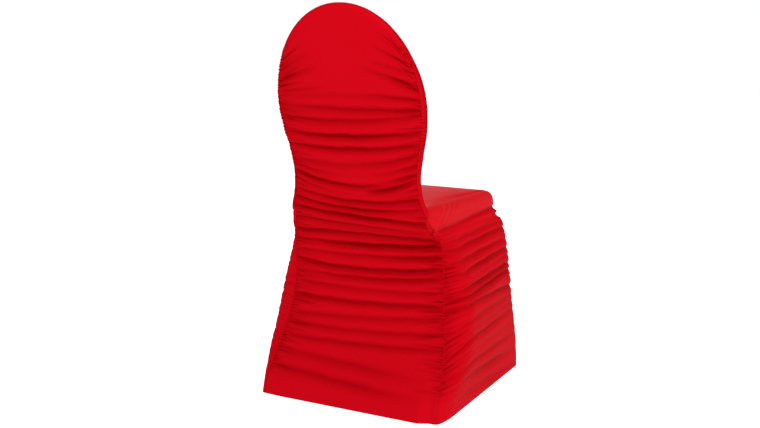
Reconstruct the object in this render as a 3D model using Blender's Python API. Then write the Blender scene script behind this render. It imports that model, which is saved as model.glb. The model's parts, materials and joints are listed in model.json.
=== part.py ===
"""A fitted stretch cover for a round-backed banquet chair, one closed sheet for each sewn panel.

Metres, +Z up, the sitter faces -Y. Heights are measured from the floor, where the hem ends, and one empty
lowers them all so that the origin lies under the crown of the cover. Each panel is a grid whose rows run
along its folds. The outline of a panel that wraps an edge is extruded outwards in a few rings.
"""

import math

import bmesh
import bpy
import numpy as np
from mathutils import Vector

HEIGHT = 0.930
SHEET = 0.002
SEAM_GAP = 0.0004
BEND_GAP = 0.0016
TURNED_EDGE = 0.0023
RED = (0.62, 0.004, 0.012, 1.0)
ROUGHNESS = 0.62

# The seam between the rear panel and its neighbours: height, half width, place towards the back.
REAR_SEAM = np.array(
    [
        (0.000, 0.2290, 0.003),
        (0.042, 0.2280, -0.014),
        (0.102, 0.2230, -0.052),
        (0.170, 0.2130, -0.084),
        (0.251, 0.2020, -0.105),
        (0.342, 0.1990, -0.106),
        (0.388, 0.1980, -0.100),
        (0.430, 0.1850, -0.072),
        (0.461, 0.1760, -0.060),
        (0.497, 0.1650, -0.053),
        (0.536, 0.1603, -0.049),
        (0.593, 0.1668, -0.043),
        (0.651, 0.1793, -0.031),
        (0.700, 0.1840, -0.019),
        (0.763, 0.1840, -0.006),
        (0.835, 0.1840, 0.011),
        (0.880, 0.1840, 0.019),
        (0.930, 0.1840, 0.027),
    ]
)
# Thickness of the covered backrest at its edge: height, thickness.
BACK_THICKNESS = np.array(
    [
        (0.40, 0.020),
        (0.55, 0.018),
        (0.65, 0.027),
        (0.72, 0.030),
        (0.76, 0.028),
        (0.80, 0.024),
        (0.85, 0.024),
        (0.93, 0.018),
    ]
)
# The skirt's corner over the rear leg and over the front leg: height, half width, place towards the back.
REAR_CORNER = np.array(
    [
        (0.000, 0.244, -0.009),
        (0.050, 0.249, -0.030),
        (0.102, 0.257, -0.060),
        (0.158, 0.258, -0.087),
        (0.216, 0.256, -0.108),
        (0.257, 0.250, -0.115),
        (0.300, 0.239, -0.115),
        (0.343, 0.224, -0.114),
        (0.375, 0.210, -0.112),
        (0.420, 0.198, -0.110),
        (0.450, 0.196, -0.108),
        (0.480, 0.192, -0.108),
    ]
)
FRONT_CORNER = np.array(
    [
        (0.000, 0.252, -0.496),
        (0.042, 0.251, -0.493),
        (0.213, 0.246, -0.472),
        (0.300, 0.243, -0.467),
        (0.348, 0.240, -0.462),
        (0.383, 0.235, -0.456),
        (0.405, 0.228, -0.444),
        (0.418, 0.221, -0.434),
        (0.432, 0.216, -0.435),
        (0.445, 0.212, -0.443),
        (0.460, 0.208, -0.442),
        (0.480, 0.202, -0.435),
    ]
)
REAR_CORNER_RADIUS = 0.022
FRONT_CORNER_RADIUS = 0.028
FRONT_SEAM_INBOARD = 0.032

CROWN_FROM = 0.700
EDGE_OUT = 0.014
SEAM_ANGLE = math.radians(60)
SEAM_ANGLE_CROWN = math.radians(5)
SEAM_INBOARD_FLAT = 0.012
FLAT_BELOW = 0.40
ROUND_ABOVE = 0.47
FACE_TOP = HEIGHT - EDGE_OUT
REAR_BULGE = 0.005
PAD_CROWN = 0.016

SEAT_BACK = 0.478
BAND_FOOT = 0.455
SEAT_EDGE = 0.475
SEAT_DOME = 0.015
SEAT_WALL_TOP = 0.455
SEAT_ROLL_IN = 0.024
SEAT_SIDE_SHARE = 0.72
# Columns of the side panels, as shares of the way from the rear seam to the front seam.
SIDE_SHARES = (0.0, 0.04, 0.08, 0.12, 0.18, 0.28, 0.40, 0.53, 0.66, 0.77, 0.84, 0.885, 0.93, 1.0)
FRONT_CORNER_SHARE = 0.885
FRONT_SHARES = (0.0, 0.25, 0.5, 0.75, 1.0)
FRONT_CORNER_ALONG = FRONT_CORNER_SHARE * SEAT_SIDE_SHARE
SEAT_ROLL_SHARE = 0.6
CREASE_REAR = 0.420
CREASE_FRONT = 0.441

# Creases of the rear panel: height at the sitter's left seam, in the middle and at the right seam, then
# the depth at the same three places. A depth of 0 lets a crease run out.
REAR_CREASES = np.array(
    [
        (0.815, 0.860, 0.800, 0.0010, 0.0000, 0.0020),
        (0.788, 0.830, 0.767, 0.0015, 0.0002, 0.0020),
        (0.764, 0.797, 0.744, 0.0030, 0.0003, 0.0030),
        (0.737, 0.750, 0.730, 0.0020, 0.0003, 0.0015),
        (0.724, 0.725, 0.717, 0.0015, 0.0018, 0.0030),
        (0.706, 0.696, 0.696, 0.0020, 0.0025, 0.0030),
        (0.679, 0.669, 0.682, 0.0030, 0.0025, 0.0015),
        (0.644, 0.635, 0.647, 0.0030, 0.0040, 0.0025),
        (0.614, 0.604, 0.618, 0.0030, 0.0035, 0.0025),
        (0.583, 0.568, 0.595, 0.0020, 0.0020, 0.0025),
        (0.567, 0.546, 0.571, 0.0020, 0.0006, 0.0015),
        (0.550, 0.519, 0.543, 0.0040, 0.0035, 0.0040),
        (0.530, 0.501, 0.517, 0.0020, 0.0015, 0.0010),
        (0.509, 0.482, 0.496, 0.0020, 0.0030, 0.0035),
        (0.485, 0.462, 0.471, 0.0035, 0.0030, 0.0025),
        (0.464, 0.445, 0.437, 0.0030, 0.0045, 0.0030),
        (0.437, 0.420, 0.415, 0.0030, 0.0015, 0.0005),
        (0.399, 0.397, 0.394, 0.0040, 0.0025, 0.0030),
        (0.376, 0.370, 0.378, 0.0030, 0.0045, 0.0050),
        (0.353, 0.345, 0.358, 0.0020, 0.0025, 0.0045),
        (0.320, 0.313, 0.328, 0.0040, 0.0035, 0.0040),
        (0.296, 0.288, 0.306, 0.0030, 0.0035, 0.0035),
        (0.267, 0.259, 0.271, 0.0025, 0.0020, 0.0020),
        (0.232, 0.230, 0.243, 0.0035, 0.0030, 0.0030),
        (0.196, 0.196, 0.214, 0.0025, 0.0025, 0.0025),
        (0.167, 0.168, 0.182, 0.0020, 0.0025, 0.0025),
        (0.137, 0.135, 0.148, 0.0020, 0.0030, 0.0030),
        (0.101, 0.092, 0.082, 0.0030, 0.0030, 0.0002),
        (0.070, 0.055, 0.042, 0.0035, 0.0035, 0.0005),
    ]
)
# Creases of the right side panel: height at the rear seam, midway and at the front seam, then the depths.
RIGHT_CREASES = np.array(
    [
        (0.392, 0.401, 0.409, 0.0015, 0.0010, 0.0015),
        (0.366, 0.373, 0.384, 0.0015, 0.0025, 0.0025),
        (0.346, 0.347, 0.350, 0.0020, 0.0025, 0.0025),
        (0.316, 0.318, 0.322, 0.0015, 0.0025, 0.0025),
        (0.284, 0.284, 0.282, 0.0020, 0.0025, 0.0025),
        (0.260, 0.266, 0.268, 0.0025, 0.0040, 0.0030),
        (0.234, 0.238, 0.230, 0.0025, 0.0030, 0.0030),
        (0.184, 0.210, 0.212, 0.0015, 0.0015, 0.0010),
        (0.160, 0.180, 0.181, 0.0010, 0.0005, 0.0020),
        (0.136, 0.155, 0.149, 0.0025, 0.0030, 0.0025),
        (0.108, 0.095, 0.097, 0.0010, 0.0020, 0.0012),
        (0.075, 0.064, 0.054, 0.0005, 0.0030, 0.0020),
        (0.034, 0.021, 0.012, 0.0000, 0.0010, 0.0005),
    ]
)
# Creases of the left side panel, which is hidden but for its rear corner, with the same columns.
LEFT_CREASES = np.array(
    [
        (0.396, 0.399, 0.406, 0.0015, 0.0012, 0.0015),
        (0.370, 0.374, 0.380, 0.0020, 0.0020, 0.0020),
        (0.340, 0.346, 0.345, 0.0025, 0.0025, 0.0030),
        (0.311, 0.313, 0.320, 0.0020, 0.0030, 0.0025),
        (0.288, 0.283, 0.288, 0.0015, 0.0020, 0.0025),
        (0.257, 0.258, 0.262, 0.0025, 0.0035, 0.0030),
        (0.226, 0.233, 0.229, 0.0030, 0.0025, 0.0025),
        (0.195, 0.202, 0.206, 0.0020, 0.0020, 0.0015),
        (0.166, 0.174, 0.178, 0.0015, 0.0010, 0.0020),
        (0.132, 0.146, 0.150, 0.0025, 0.0030, 0.0020),
        (0.102, 0.100, 0.104, 0.0010, 0.0015, 0.0015),
        (0.069, 0.062, 0.058, 0.0010, 0.0025, 0.0020),
        (0.036, 0.024, 0.016, 0.0000, 0.0008, 0.0005),
    ]
)
CREASE_BOWING = 4.0
FOLD_SQUARENESS = 0.7
FOLD_STATIONS = (0.0, 0.30, 0.70)


def smooth(table, column, at):
    """A smooth curve through a table's column, read at heights that rise down its first column."""
    known, values = table[:, 0], table[:, column]
    step = np.diff(known)
    rise = np.diff(values) / step
    slope = np.empty_like(values)
    slope[1:-1] = (rise[:-1] * step[1:] + rise[1:] * step[:-1]) / (step[:-1] + step[1:])
    slope[0], slope[-1] = rise[0], rise[-1]
    i = np.clip(np.searchsorted(known, at) - 1, 0, len(step) - 1)
    t = np.clip((at - known[i]) / step[i], 0.0, 1.0)
    near = (2 * t**3 - 3 * t**2 + 1) * values[i] + (t**3 - 2 * t**2 + t) * slope[i] * step[i]
    far = (3 * t**2 - 2 * t**3) * values[i + 1] + (t**3 - t**2) * slope[i + 1] * step[i]
    return near + far


def ease(low, high, at):
    """0 below low, 1 above high and a soft change between them."""
    t = np.clip((at - low) / (high - low), 0.0, 1.0)
    return t * t * (3.0 - 2.0 * t)


def mix(a, b, share):
    return a + (b - a) * share


def roundness(z):
    """1 where the seam lies on the backrest's rounded edge, 0 on the skirt, where it lies on a flat."""
    return ease(FLAT_BELOW, ROUND_ABOVE, z)


def half_thickness(z):
    return smooth(BACK_THICKNESS, 1, z) / 2


def seam_half(z):
    return smooth(REAR_SEAM, 1, z)


def seam_back(z):
    return smooth(REAR_SEAM, 2, z)


def rear_plane(z):
    """The place of the flat of the cover's back, a little behind its seams on the backrest."""
    return seam_back(z) + roundness(z) * half_thickness(z) * (1.0 - math.sin(SEAM_ANGLE))


def seam_gap(z):
    """The gap at the rear seam, wider over the sharp bend under the cushion, where the folds don't line up."""
    return SEAM_GAP + BEND_GAP * ease(0.350, 0.385, z) * ease(0.465, 0.435, z)


def seam_beyond_face(z):
    return mix(SEAM_INBOARD_FLAT, EDGE_OUT * math.cos(SEAM_ANGLE), roundness(z))


SHOULDER = float(seam_half(CROWN_FROM)) - EDGE_OUT * math.cos(SEAM_ANGLE)
CROWN_RISE = FACE_TOP - CROWN_FROM
CORNER_SHARE = math.sqrt(0.5)
CORNER_HALF = SHOULDER * CORNER_SHARE
CORNER_HEIGHT = CROWN_FROM + CROWN_RISE * CORNER_SHARE


def face_half(z):
    """Half the width of the flat between the rounded edges: from the seam's table, then the crown's ellipse."""
    share = np.clip((z - CROWN_FROM) / CROWN_RISE, 0.0, 1.0)
    return np.where(z < CROWN_FROM, seam_half(z) - seam_beyond_face(z), SHOULDER * np.sqrt(1.0 - share**2))


def edge_outwards(x, z):
    """The direction, in the plane of the back, in which the edge turns away from the flat at x, z."""
    sideways = np.where(z < CROWN_FROM, np.where(x < 0.0, -1.0, 1.0), x / SHOULDER**2)
    upwards = np.clip(z - CROWN_FROM, 0.0, None) / CROWN_RISE**2
    length = np.hypot(sideways, upwards)
    return sideways / length, upwards / length


def crown_arch(across):
    """The crown's rise between its two 45 degree points, from 0 at both to 1 in the middle."""
    x = np.abs(across) * CORNER_SHARE
    return (np.sqrt(1.0 - x**2) - CORNER_SHARE) / (1.0 - CORNER_SHARE)


def face_point(left, middle, right, across):
    """x and z of a point on a row with these three heights; across is -1 at the sitter's right seam."""
    level = mix(right, left, (1.0 + across) / 2)
    z = level + (middle - (left + right) / 2) * crown_arch(across)
    x = across * mix(face_half(right), face_half(left), (1.0 + across) / 2)
    return x, z


def seam_angle(upwards):
    """How far round the edge the seam lies: near the rear corner at the sides, on top at the crown."""
    return mix(SEAM_ANGLE, SEAM_ANGLE_CROWN, ease(0.0, 0.94, upwards))


def rounded_edge(x, z, angle, ring, gap):
    """Turns a point of the flat's outline round the edge: the new x and z, and the depth below the rear flat.

    gap moves the last ring on past the seam, or back from it.
    """
    sideways, upwards = edge_outwards(x, z)
    soft = roundness(z)
    on_seam = (ring >= 1.0) * gap
    out = soft * EDGE_OUT * np.cos(angle) + (1.0 - soft) * SEAM_INBOARD_FLAT * ring + on_seam * np.sin(angle)
    depth = soft * (half_thickness(z) * (1.0 - np.sin(angle)) + on_seam * np.cos(angle))
    return x + out * sideways, z + out * upwards, depth


def table_rows(creases, top, bottom):
    """The crease table with a row for the panel's top and one for its bottom."""
    flat = (0.0, 0.0, 0.0)
    return np.vstack([top + flat, creases, bottom + flat])


REAR_ROWS = table_rows(REAR_CREASES, (CORNER_HEIGHT, FACE_TOP, CORNER_HEIGHT), (0.0, 0.0, 0.0))


def between_rows(rows, column, row):
    return np.interp(row, np.arange(len(rows)), rows[:, column])


def fold_relief(rows, row, along):
    """The cloth's height over its smooth form: full ridges, and creases as deep as the table says."""
    depths = [between_rows(rows, column, row) for column in (3, 4, 5)]
    start = mix(depths[0], depths[1], np.clip(along * 2, 0.0, 1.0))
    depth = np.where(along < 0.5, start, mix(depths[1], depths[2], along * 2 - 1.0))
    fullness = np.sin(math.pi * (row % 1.0)) ** FOLD_SQUARENESS
    return depth * (fullness - 1.0)


def rear_place(row, across, ring):
    left, middle, right = (between_rows(REAR_ROWS, column, row) for column in range(3))
    x, z = face_point(left, middle, right, across)
    turned = ring > 0.0
    _, upwards = edge_outwards(x, z)
    angle = mix(math.pi / 2, seam_angle(upwards), ring)
    edge_x, edge_z, depth = rounded_edge(x, z, angle, ring, -seam_gap(z) / 2)
    y = rear_plane(z) + REAR_BULGE * (1.0 - across**2) * roundness(z) - depth * turned
    return np.where(turned, edge_x, x), y, np.where(turned, edge_z, z)


def rear_relief(row, across, ring):
    return fold_relief(REAR_ROWS, row, (1.0 - across) / 2) * (1.0 - ring**2)


def pad_front(z, across):
    """The place of the padded front of the backrest, fullest in the middle."""
    fullness = (1.0 - across**2) * ease(SEAT_BACK - 0.10, SEAT_BACK + 0.12, z) * ease(HEIGHT, 0.78, z)
    return rear_plane(z) - 2 * half_thickness(z) - PAD_CROWN * fullness


def inner_back_place(row, across, ring):
    side = mix(CORNER_HEIGHT, SEAT_BACK, row)
    x, z = face_point(side, mix(FACE_TOP, SEAT_BACK, row), side, across)
    turned = ring > 0.0
    _, upwards = edge_outwards(x, z)
    angle = mix(-math.pi / 2, seam_angle(upwards), ring)
    z = z - (SEAT_BACK - BAND_FOOT) * ease(0.0, 1.0, ring) * ease(0.7, 1.0, row)
    x = np.where(turned & (z < CROWN_FROM), np.sign(x) * face_half(z), x)
    edge_x, edge_z, depth = rounded_edge(x, z, angle, ring, SEAM_GAP / 2)
    lift = (row >= 1.0) * SEAM_GAP / 2
    y = np.where(turned, rear_plane(z) - depth, pad_front(z, across))
    return np.where(turned, edge_x, x), y, np.where(turned, edge_z, z) + lift


def no_relief(row, across, ring):
    return np.zeros_like(row)


def unit(vectors):
    return vectors / np.linalg.norm(vectors, axis=-1, keepdims=True)


def rounded_corner(before, corner, after, radius, steps=9):
    """Points round a corner, from radius before it to radius after it."""
    start = corner - radius * unit(corner - before)
    end = corner + radius * unit(after - corner)
    t = np.linspace(0.0, 1.0, steps)[None, :, None]
    return (1 - t) ** 2 * start[:, None] + 2 * t * (1 - t) * corner[:, None] + t**2 * end[:, None]


def side_section(z, share):
    """x and y on the sitter's left at height z, at a share of the way from the rear seam to the front seam."""
    seam = np.stack([seam_half(z), seam_back(z)], axis=-1)
    rear = np.stack([smooth(REAR_CORNER, 1, z), smooth(REAR_CORNER, 2, z)], axis=-1)
    front = np.stack([smooth(FRONT_CORNER, 1, z), smooth(FRONT_CORNER, 2, z)], axis=-1)
    end = front - np.array([FRONT_SEAM_INBOARD, 0.0])
    rear_radius = np.minimum(REAR_CORNER_RADIUS, 0.8 * np.linalg.norm(rear - seam, axis=-1))[:, None]
    path = np.concatenate(
        [
            seam[:, None],
            rounded_corner(seam, rear, front, rear_radius),
            rounded_corner(rear, front, end, FRONT_CORNER_RADIUS),
            end[:, None],
        ],
        axis=1,
    )
    length = np.linalg.norm(np.diff(path, axis=1), axis=2)
    run = np.concatenate([np.zeros((len(z), 1)), np.cumsum(length, axis=1)], axis=1)
    run /= run[:, -1:]
    first = np.clip((run <= share[:, None]).sum(axis=1) - 1, 0, length.shape[1] - 1)
    each = np.arange(len(z))
    t = (share - run[each, first]) / (run[each, first + 1] - run[each, first])
    point = mix(path[each, first], path[each, first + 1], t[:, None])
    return point[:, 0], point[:, 1]


def crease_height(share):
    """The seam below the cushion rises from the rear seam to the front one."""
    return mix(CREASE_REAR, CREASE_FRONT, ease(-0.2, 1.0, share))


def side_rows(creases):
    return table_rows(creases, (CREASE_REAR, CREASE_REAR, CREASE_REAR), (0.0, 0.0, 0.0))


def side_height(rows, row, share):
    rear, middle, front = (between_rows(rows, column, row) for column in range(3))
    bowed = mix(rear, front, share) + (middle - (rear + front) / 2) * CREASE_BOWING * share * (1 - share)
    start = row < 1.0
    top = crease_height(share) - SEAM_GAP / 2
    first = between_rows(rows, 0, np.ones_like(row))
    first_front = between_rows(rows, 2, np.ones_like(row))
    first_middle = between_rows(rows, 1, np.ones_like(row))
    below = mix(first, first_front, share)
    below = below + (first_middle - (first + first_front) / 2) * CREASE_BOWING * share * (1 - share)
    return np.where(start, mix(top, below, np.clip(row, 0.0, 1.0)), bowed)


def side_place(rows, hand):
    """The place function of a side panel: hand is 1 on the sitter's left and -1 on the right."""

    def place(row, across, ring):
        share = (1.0 + across) / 2
        z = side_height(rows, row, share)
        x, y = side_section(z, share)
        x = x + seam_gap(z) / 2 * (across <= -1.0) + SEAM_GAP / 2 * (across >= 1.0)
        return hand * x, y, z

    return place


def side_relief(rows):
    def relief(row, across, ring):
        share = (1.0 + across) / 2
        calm = ease(-0.12, 0.12, share) * ease(1.08, 0.86, share) * ease(0.0, 0.5, row)
        return fold_relief(rows, row, share) * calm

    return relief


def seat_outline(z, along):
    """x and y of the cushion's side: along is 0 at the rear seam and 1 at the middle of the front."""
    x, y = side_section(z, np.minimum(along / SEAT_SIDE_SHARE, 1.0))
    front = np.clip((along - SEAT_SIDE_SHARE) / (1.0 - SEAT_SIDE_SHARE), 0.0, 1.0)
    return x * (1.0 - front), y


def outline_outwards(z, along):
    step = 0.004
    x0, y0 = seat_outline(z, np.clip(along - step, 0.0, 1.0))
    x1, y1 = seat_outline(z, np.clip(along + step, 0.0, 1.0))
    away = unit(np.stack([-(y1 - y0), x1 - x0], axis=-1))
    return away[:, 0], away[:, 1]


def junction(across):
    """The line where the seat meets the backrest."""
    z = np.full_like(across, SEAT_BACK)
    return face_half(z) * across, pad_front(z, across) - SEAM_GAP, z


def seat_wall(along, ring):
    """The cushion's rolled edge and side, on the sitter's left, down to the crease below it."""
    roll = np.clip(ring / SEAT_ROLL_SHARE, 0.0, 1.0) * math.pi / 2
    down = np.clip((ring - SEAT_ROLL_SHARE) / (1.0 - SEAT_ROLL_SHARE), 0.0, 1.0)
    share = np.minimum(along / SEAT_SIDE_SHARE, 1.0)
    wall = mix(SEAT_WALL_TOP, crease_height(share) + SEAM_GAP / 2, down)
    x, y = seat_outline(wall, along)
    away_x, away_y = outline_outwards(wall, along)
    inset = SEAT_ROLL_IN * (1.0 - np.sin(roll))
    z = wall + (SEAT_EDGE - SEAT_WALL_TOP) * np.cos(roll)
    return np.stack([x - inset * away_x, y - inset * away_y, z], axis=-1)


def seat_rear_edge(ring):
    """The seat's edge along the foot of the backrest's band, then down the rear seam, on the left."""
    foot = np.clip(ring / SEAT_ROLL_SHARE, 0.0, 1.0)
    down = np.clip((ring - SEAT_ROLL_SHARE) / (1.0 - SEAT_ROLL_SHARE), 0.0, 1.0)
    bottom = np.ones_like(ring)
    x, y, z = inner_back_place(bottom, bottom, np.minimum(foot, 0.999999))
    seam_z = mix(BAND_FOOT, crease_height(0.0) + SEAM_GAP / 2, down)
    on_seam = foot >= 1.0
    x = np.where(on_seam, seam_half(seam_z) + seam_gap(seam_z) / 2, x)
    y = np.where(on_seam, seam_back(seam_z), y)
    z = np.where(on_seam, seam_z, z - 2 * SEAM_GAP)
    return np.stack([x, y, z], axis=-1)


def seat_side(along, ring):
    """The wall, drawn in at its rear end to meet the band's foot and the rear seam."""
    start = np.zeros_like(along)
    pull = (1.0 - ease(0.0, 0.16, along))[:, None]
    return seat_wall(along, ring) + (seat_rear_edge(ring) - seat_wall(start, ring)) * pull


def seat_place(row, across, ring):
    """Row 0 is the front edge, row 1 the line at the backrest; the rings run down the sides and front."""
    hand = np.where(across < 0.0, -1.0, 1.0)
    width = np.abs(across)
    top = np.zeros_like(row)
    front = seat_side(mix(1.0, FRONT_CORNER_ALONG, width), top)
    flank = seat_side(mix(FRONT_CORNER_ALONG, 0.0, row), top)
    rear = np.stack(junction(width), axis=-1)
    corner_front = seat_side(np.full_like(row, FRONT_CORNER_ALONG), top)
    corner_rear = seat_side(top, top)
    middle_front = seat_side(np.ones_like(row), top)
    middle_rear = np.stack(junction(top), axis=-1)
    w, r = width[:, None], row[:, None]
    centre = mix(middle_front, middle_rear, r)
    face = mix(front, rear, r) + mix(centre, flank, w)
    face -= mix(mix(middle_front, middle_rear, r), mix(corner_front, corner_rear, r), w)
    face[:, 2] += SEAT_DOME * (1.0 - width**2) * np.sin(math.pi * np.clip(row * 0.9 + 0.02, 0, 1)) ** 0.7
    on_side = width >= 1.0
    along = np.where(on_side, mix(FRONT_CORNER_ALONG, 0.0, row), mix(1.0, FRONT_CORNER_ALONG, width))
    side = seat_side(along, ring)
    point = np.where((ring > 0.0)[:, None], side, face)
    return hand * point[:, 0], point[:, 1], point[:, 2]


def front_place(row, across, ring):
    z = mix(crease_height(1.0) - SEAM_GAP / 2, 0.0, row)
    end_x, end_y = side_section(z, np.ones_like(z))
    return across * (end_x - SEAM_GAP / 2), end_y, z


def front_relief(row, across, ring):
    """The hidden front is plain, with one shallow slack hollow."""
    return -0.002 * (1.0 - across**2) * np.sin(math.pi * row) ** 2


def stations(rows):
    """The row numbers of a creased panel: the crease, and the two shoulders of the fold below it."""
    steps = [crease + share for crease in range(len(rows) - 1) for share in FOLD_STATIONS]
    return steps + [len(rows) - 1]


def spread(count, low=-1.0, high=1.0, crowding=0.0):
    """count + 1 stations from low to high, closer at both ends as crowding rises to 1."""
    t = np.linspace(0.0, 1.0, count + 1)
    t = mix(t, (1.0 - np.cos(math.pi * t)) / 2, crowding)
    return list(mix(low, high, t))


def mirrored(half):
    """Stations from -1 to 1 that repeat the ones from 0 to 1."""
    return [-station for station in half[:0:-1]] + list(half)


def seat_rows():
    """The seat's rows, from its front corners to the backrest, at the side panel's stations."""
    shares = [share for share in SIDE_SHARES if share <= FRONT_CORNER_SHARE]
    return [1.0 - share / FRONT_CORNER_SHARE for share in reversed(shares)]


def seat_columns():
    """The seat's columns across its front edge, at the front panel's and the side panel's stations."""
    ends = [share * SEAT_SIDE_SHARE for share in SIDE_SHARES if share >= FRONT_CORNER_SHARE]
    middle = [1.0 - (1.0 - SEAT_SIDE_SHARE) * share for share in FRONT_SHARES]
    alongs = sorted(set(ends + middle), reverse=True)
    return mirrored([(1.0 - along) / (1.0 - FRONT_CORNER_ALONG) for along in alongs])


def panel_grid(bm, columns, rows, rings):
    """A flat grid and the rings extruded round its sides and top, with each point's place in layers."""
    layers = [bm.verts.layers.float.new(name) for name in ("row", "across", "ring")]
    bmesh.ops.create_grid(bm, x_segments=len(columns) - 1, y_segments=len(rows) - 1, size=1.0)
    for vert in bm.verts:
        vert[layers[0]] = rows[round((1.0 - vert.co.y) / 2 * (len(rows) - 1))]
        vert[layers[1]] = columns[round((1.0 + vert.co.x) / 2 * (len(columns) - 1))]
    outline = []
    if rings:
        outline = [edge for edge in bm.edges if edge.is_boundary and wraps(edge, layers)]
    for ring in range(rings):
        grown = bmesh.ops.extrude_edge_only(bm, edges=outline)["geom"]
        fresh = {item for item in grown if isinstance(item, bmesh.types.BMVert)}
        for vert in fresh:
            vert[layers[2]] = (ring + 1) / rings
        outline = [
            item for item in grown if isinstance(item, bmesh.types.BMEdge) and set(item.verts) <= fresh
        ]
    return layers


def wraps(edge, layers):
    """True on the panel's sides and its first row."""
    ends = [(vert[layers[0]], abs(vert[layers[1]])) for vert in edge.verts]
    return all(row <= 0.0 for row, _ in ends) or all(across >= 1.0 for _, across in ends)


def set_places(bm, layers, place, relief, facing):
    """Moves every point to its place on the form, then out or in along the form's normal."""
    verts = list(bm.verts)
    row, across, ring = (np.array([vert[layer] for vert in verts]) for layer in layers)
    for vert, point in zip(verts, np.stack(place(row, across, ring), axis=-1)):
        vert.co = point
    bm.normal_update()
    if sum(face.normal.dot(facing) for face in bm.faces) < 0.0:
        bmesh.ops.reverse_faces(bm, faces=bm.faces[:])
        bm.normal_update()
    for vert, rise in zip(verts, relief(row, across, ring)):
        vert.co = vert.co + vert.normal * float(rise)
    bm.normal_update()


def give_thickness(bm):
    """Closes the sheet inwards. Its inner edge is drawn back a little, as a turned seam is, and the hem stays flat."""
    verts, faces = bm.verts[:], bm.faces[:]
    rim = [edge for edge in bm.edges if edge.is_boundary]
    inner_places = {}
    for vert in verts:
        place = vert.co - vert.normal * SHEET
        if vert.is_boundary:
            middle = sum((face.calc_center_median() for face in vert.link_faces), vert.co * 0.0)
            inwards = (middle / len(vert.link_faces) - vert.co).normalized()
            place = place + inwards * TURNED_EDGE
        if vert.co.z < SEAM_GAP / 10:
            vert.co.z = 0.0
            place.z = 0.0
        inner_places[vert] = place
    copied = bmesh.ops.duplicate(bm, geom=faces)["vert_map"]
    twin = {vert: copied[vert] for vert in verts}
    inner_faces = [face for face in bm.faces if face.verts[0] not in inner_places]
    for vert, other in twin.items():
        other.co = inner_places[vert]
    bmesh.ops.reverse_faces(bm, faces=inner_faces)
    for edge in rim:
        first, second = edge.verts
        bm.faces.new((first, second, twin[second], twin[first]))
    bmesh.ops.triangulate(bm, faces=bm.faces[:], quad_method="SHORT_EDGE")
    bmesh.ops.recalc_face_normals(bm, faces=bm.faces[:])


def cloth_material():
    material = bpy.data.materials.new("stretch_cloth")
    material.use_nodes = True
    shader = material.node_tree.nodes["Principled BSDF"]
    shader.inputs["Base Color"].default_value = RED
    shader.inputs["Roughness"].default_value = ROUGHNESS
    shader.inputs["Metallic"].default_value = 0.0
    material.diffuse_color = RED
    return material


def make_panel(name, facing, columns, rows, rings, place, relief, parent, material):
    bm = bmesh.new()
    layers = panel_grid(bm, columns, rows, rings)
    set_places(bm, layers, place, relief, Vector(facing))
    give_thickness(bm)
    mesh = bpy.data.meshes.new(name)
    bm.to_mesh(mesh)
    bm.free()
    mesh.shade_smooth()
    mesh.materials.append(material)
    panel = bpy.data.objects.new(name, mesh)
    panel.parent = parent
    bpy.context.scene.collection.objects.link(panel)
    return panel


def clear_scene():
    for item in list(bpy.data.objects):
        bpy.data.objects.remove(item, do_unlink=True)


def main():
    clear_scene()
    cover = bpy.data.objects.new("chair_cover", None)
    cover.location = (0.0, -float(rear_plane(HEIGHT)) + float(half_thickness(HEIGHT)), SHEET - HEIGHT)
    bpy.context.scene.collection.objects.link(cover)
    material = cloth_material()
    right_rows, left_rows = side_rows(RIGHT_CREASES), side_rows(LEFT_CREASES)
    side_columns = [2 * share - 1 for share in SIDE_SHARES]
    front_columns = mirrored(FRONT_SHARES)
    panels = {
        "rear_panel": (
            (0, 1, 0),
            spread(10, crowding=0.4),
            stations(REAR_ROWS),
            3,
            rear_place,
            rear_relief,
        ),
        "inner_back_panel": (
            (0, -1, 0),
            spread(10, crowding=0.4),
            spread(24, 0.0, 1.0),
            6,
            inner_back_place,
            no_relief,
        ),
        "seat_panel": (
            (0, 0, 1),
            seat_columns(),
            seat_rows(),
            7,
            seat_place,
            no_relief,
        ),
        "side_panel_right": (
            (-1, 0, 0),
            side_columns,
            stations(right_rows),
            0,
            side_place(right_rows, -1.0),
            side_relief(right_rows),
        ),
        "side_panel_left": (
            (1, 0, 0),
            side_columns,
            stations(left_rows),
            0,
            side_place(left_rows, 1.0),
            side_relief(left_rows),
        ),
        "front_panel": (
            (0, -1, 0),
            front_columns,
            spread(16, 0.0, 1.0),
            0,
            front_place,
            front_relief,
        ),
    }
    for name, plan in panels.items():
        make_panel(name, *plan, cover, material)


if __name__ == "__main__":
    main()
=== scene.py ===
"""The looks of a fitted stretch cover for a round-backed banquet chair.

Metres, +Z up, the sitter faces -Y, and the origin lies under the crown of the cover. Heights in the tables
are measured from the floor. Each sewn panel is one sheet of stretch knit. It starts as a grid, its sewn edges
are extruded round the form, its folds are raised along the sheet's normals, and its edges turn in at the seams.
"""

from __future__ import annotations

import json
import logging
import math
from dataclasses import dataclass, field
from enum import Enum
from typing import Any, Callable, Sequence, Union

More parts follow.
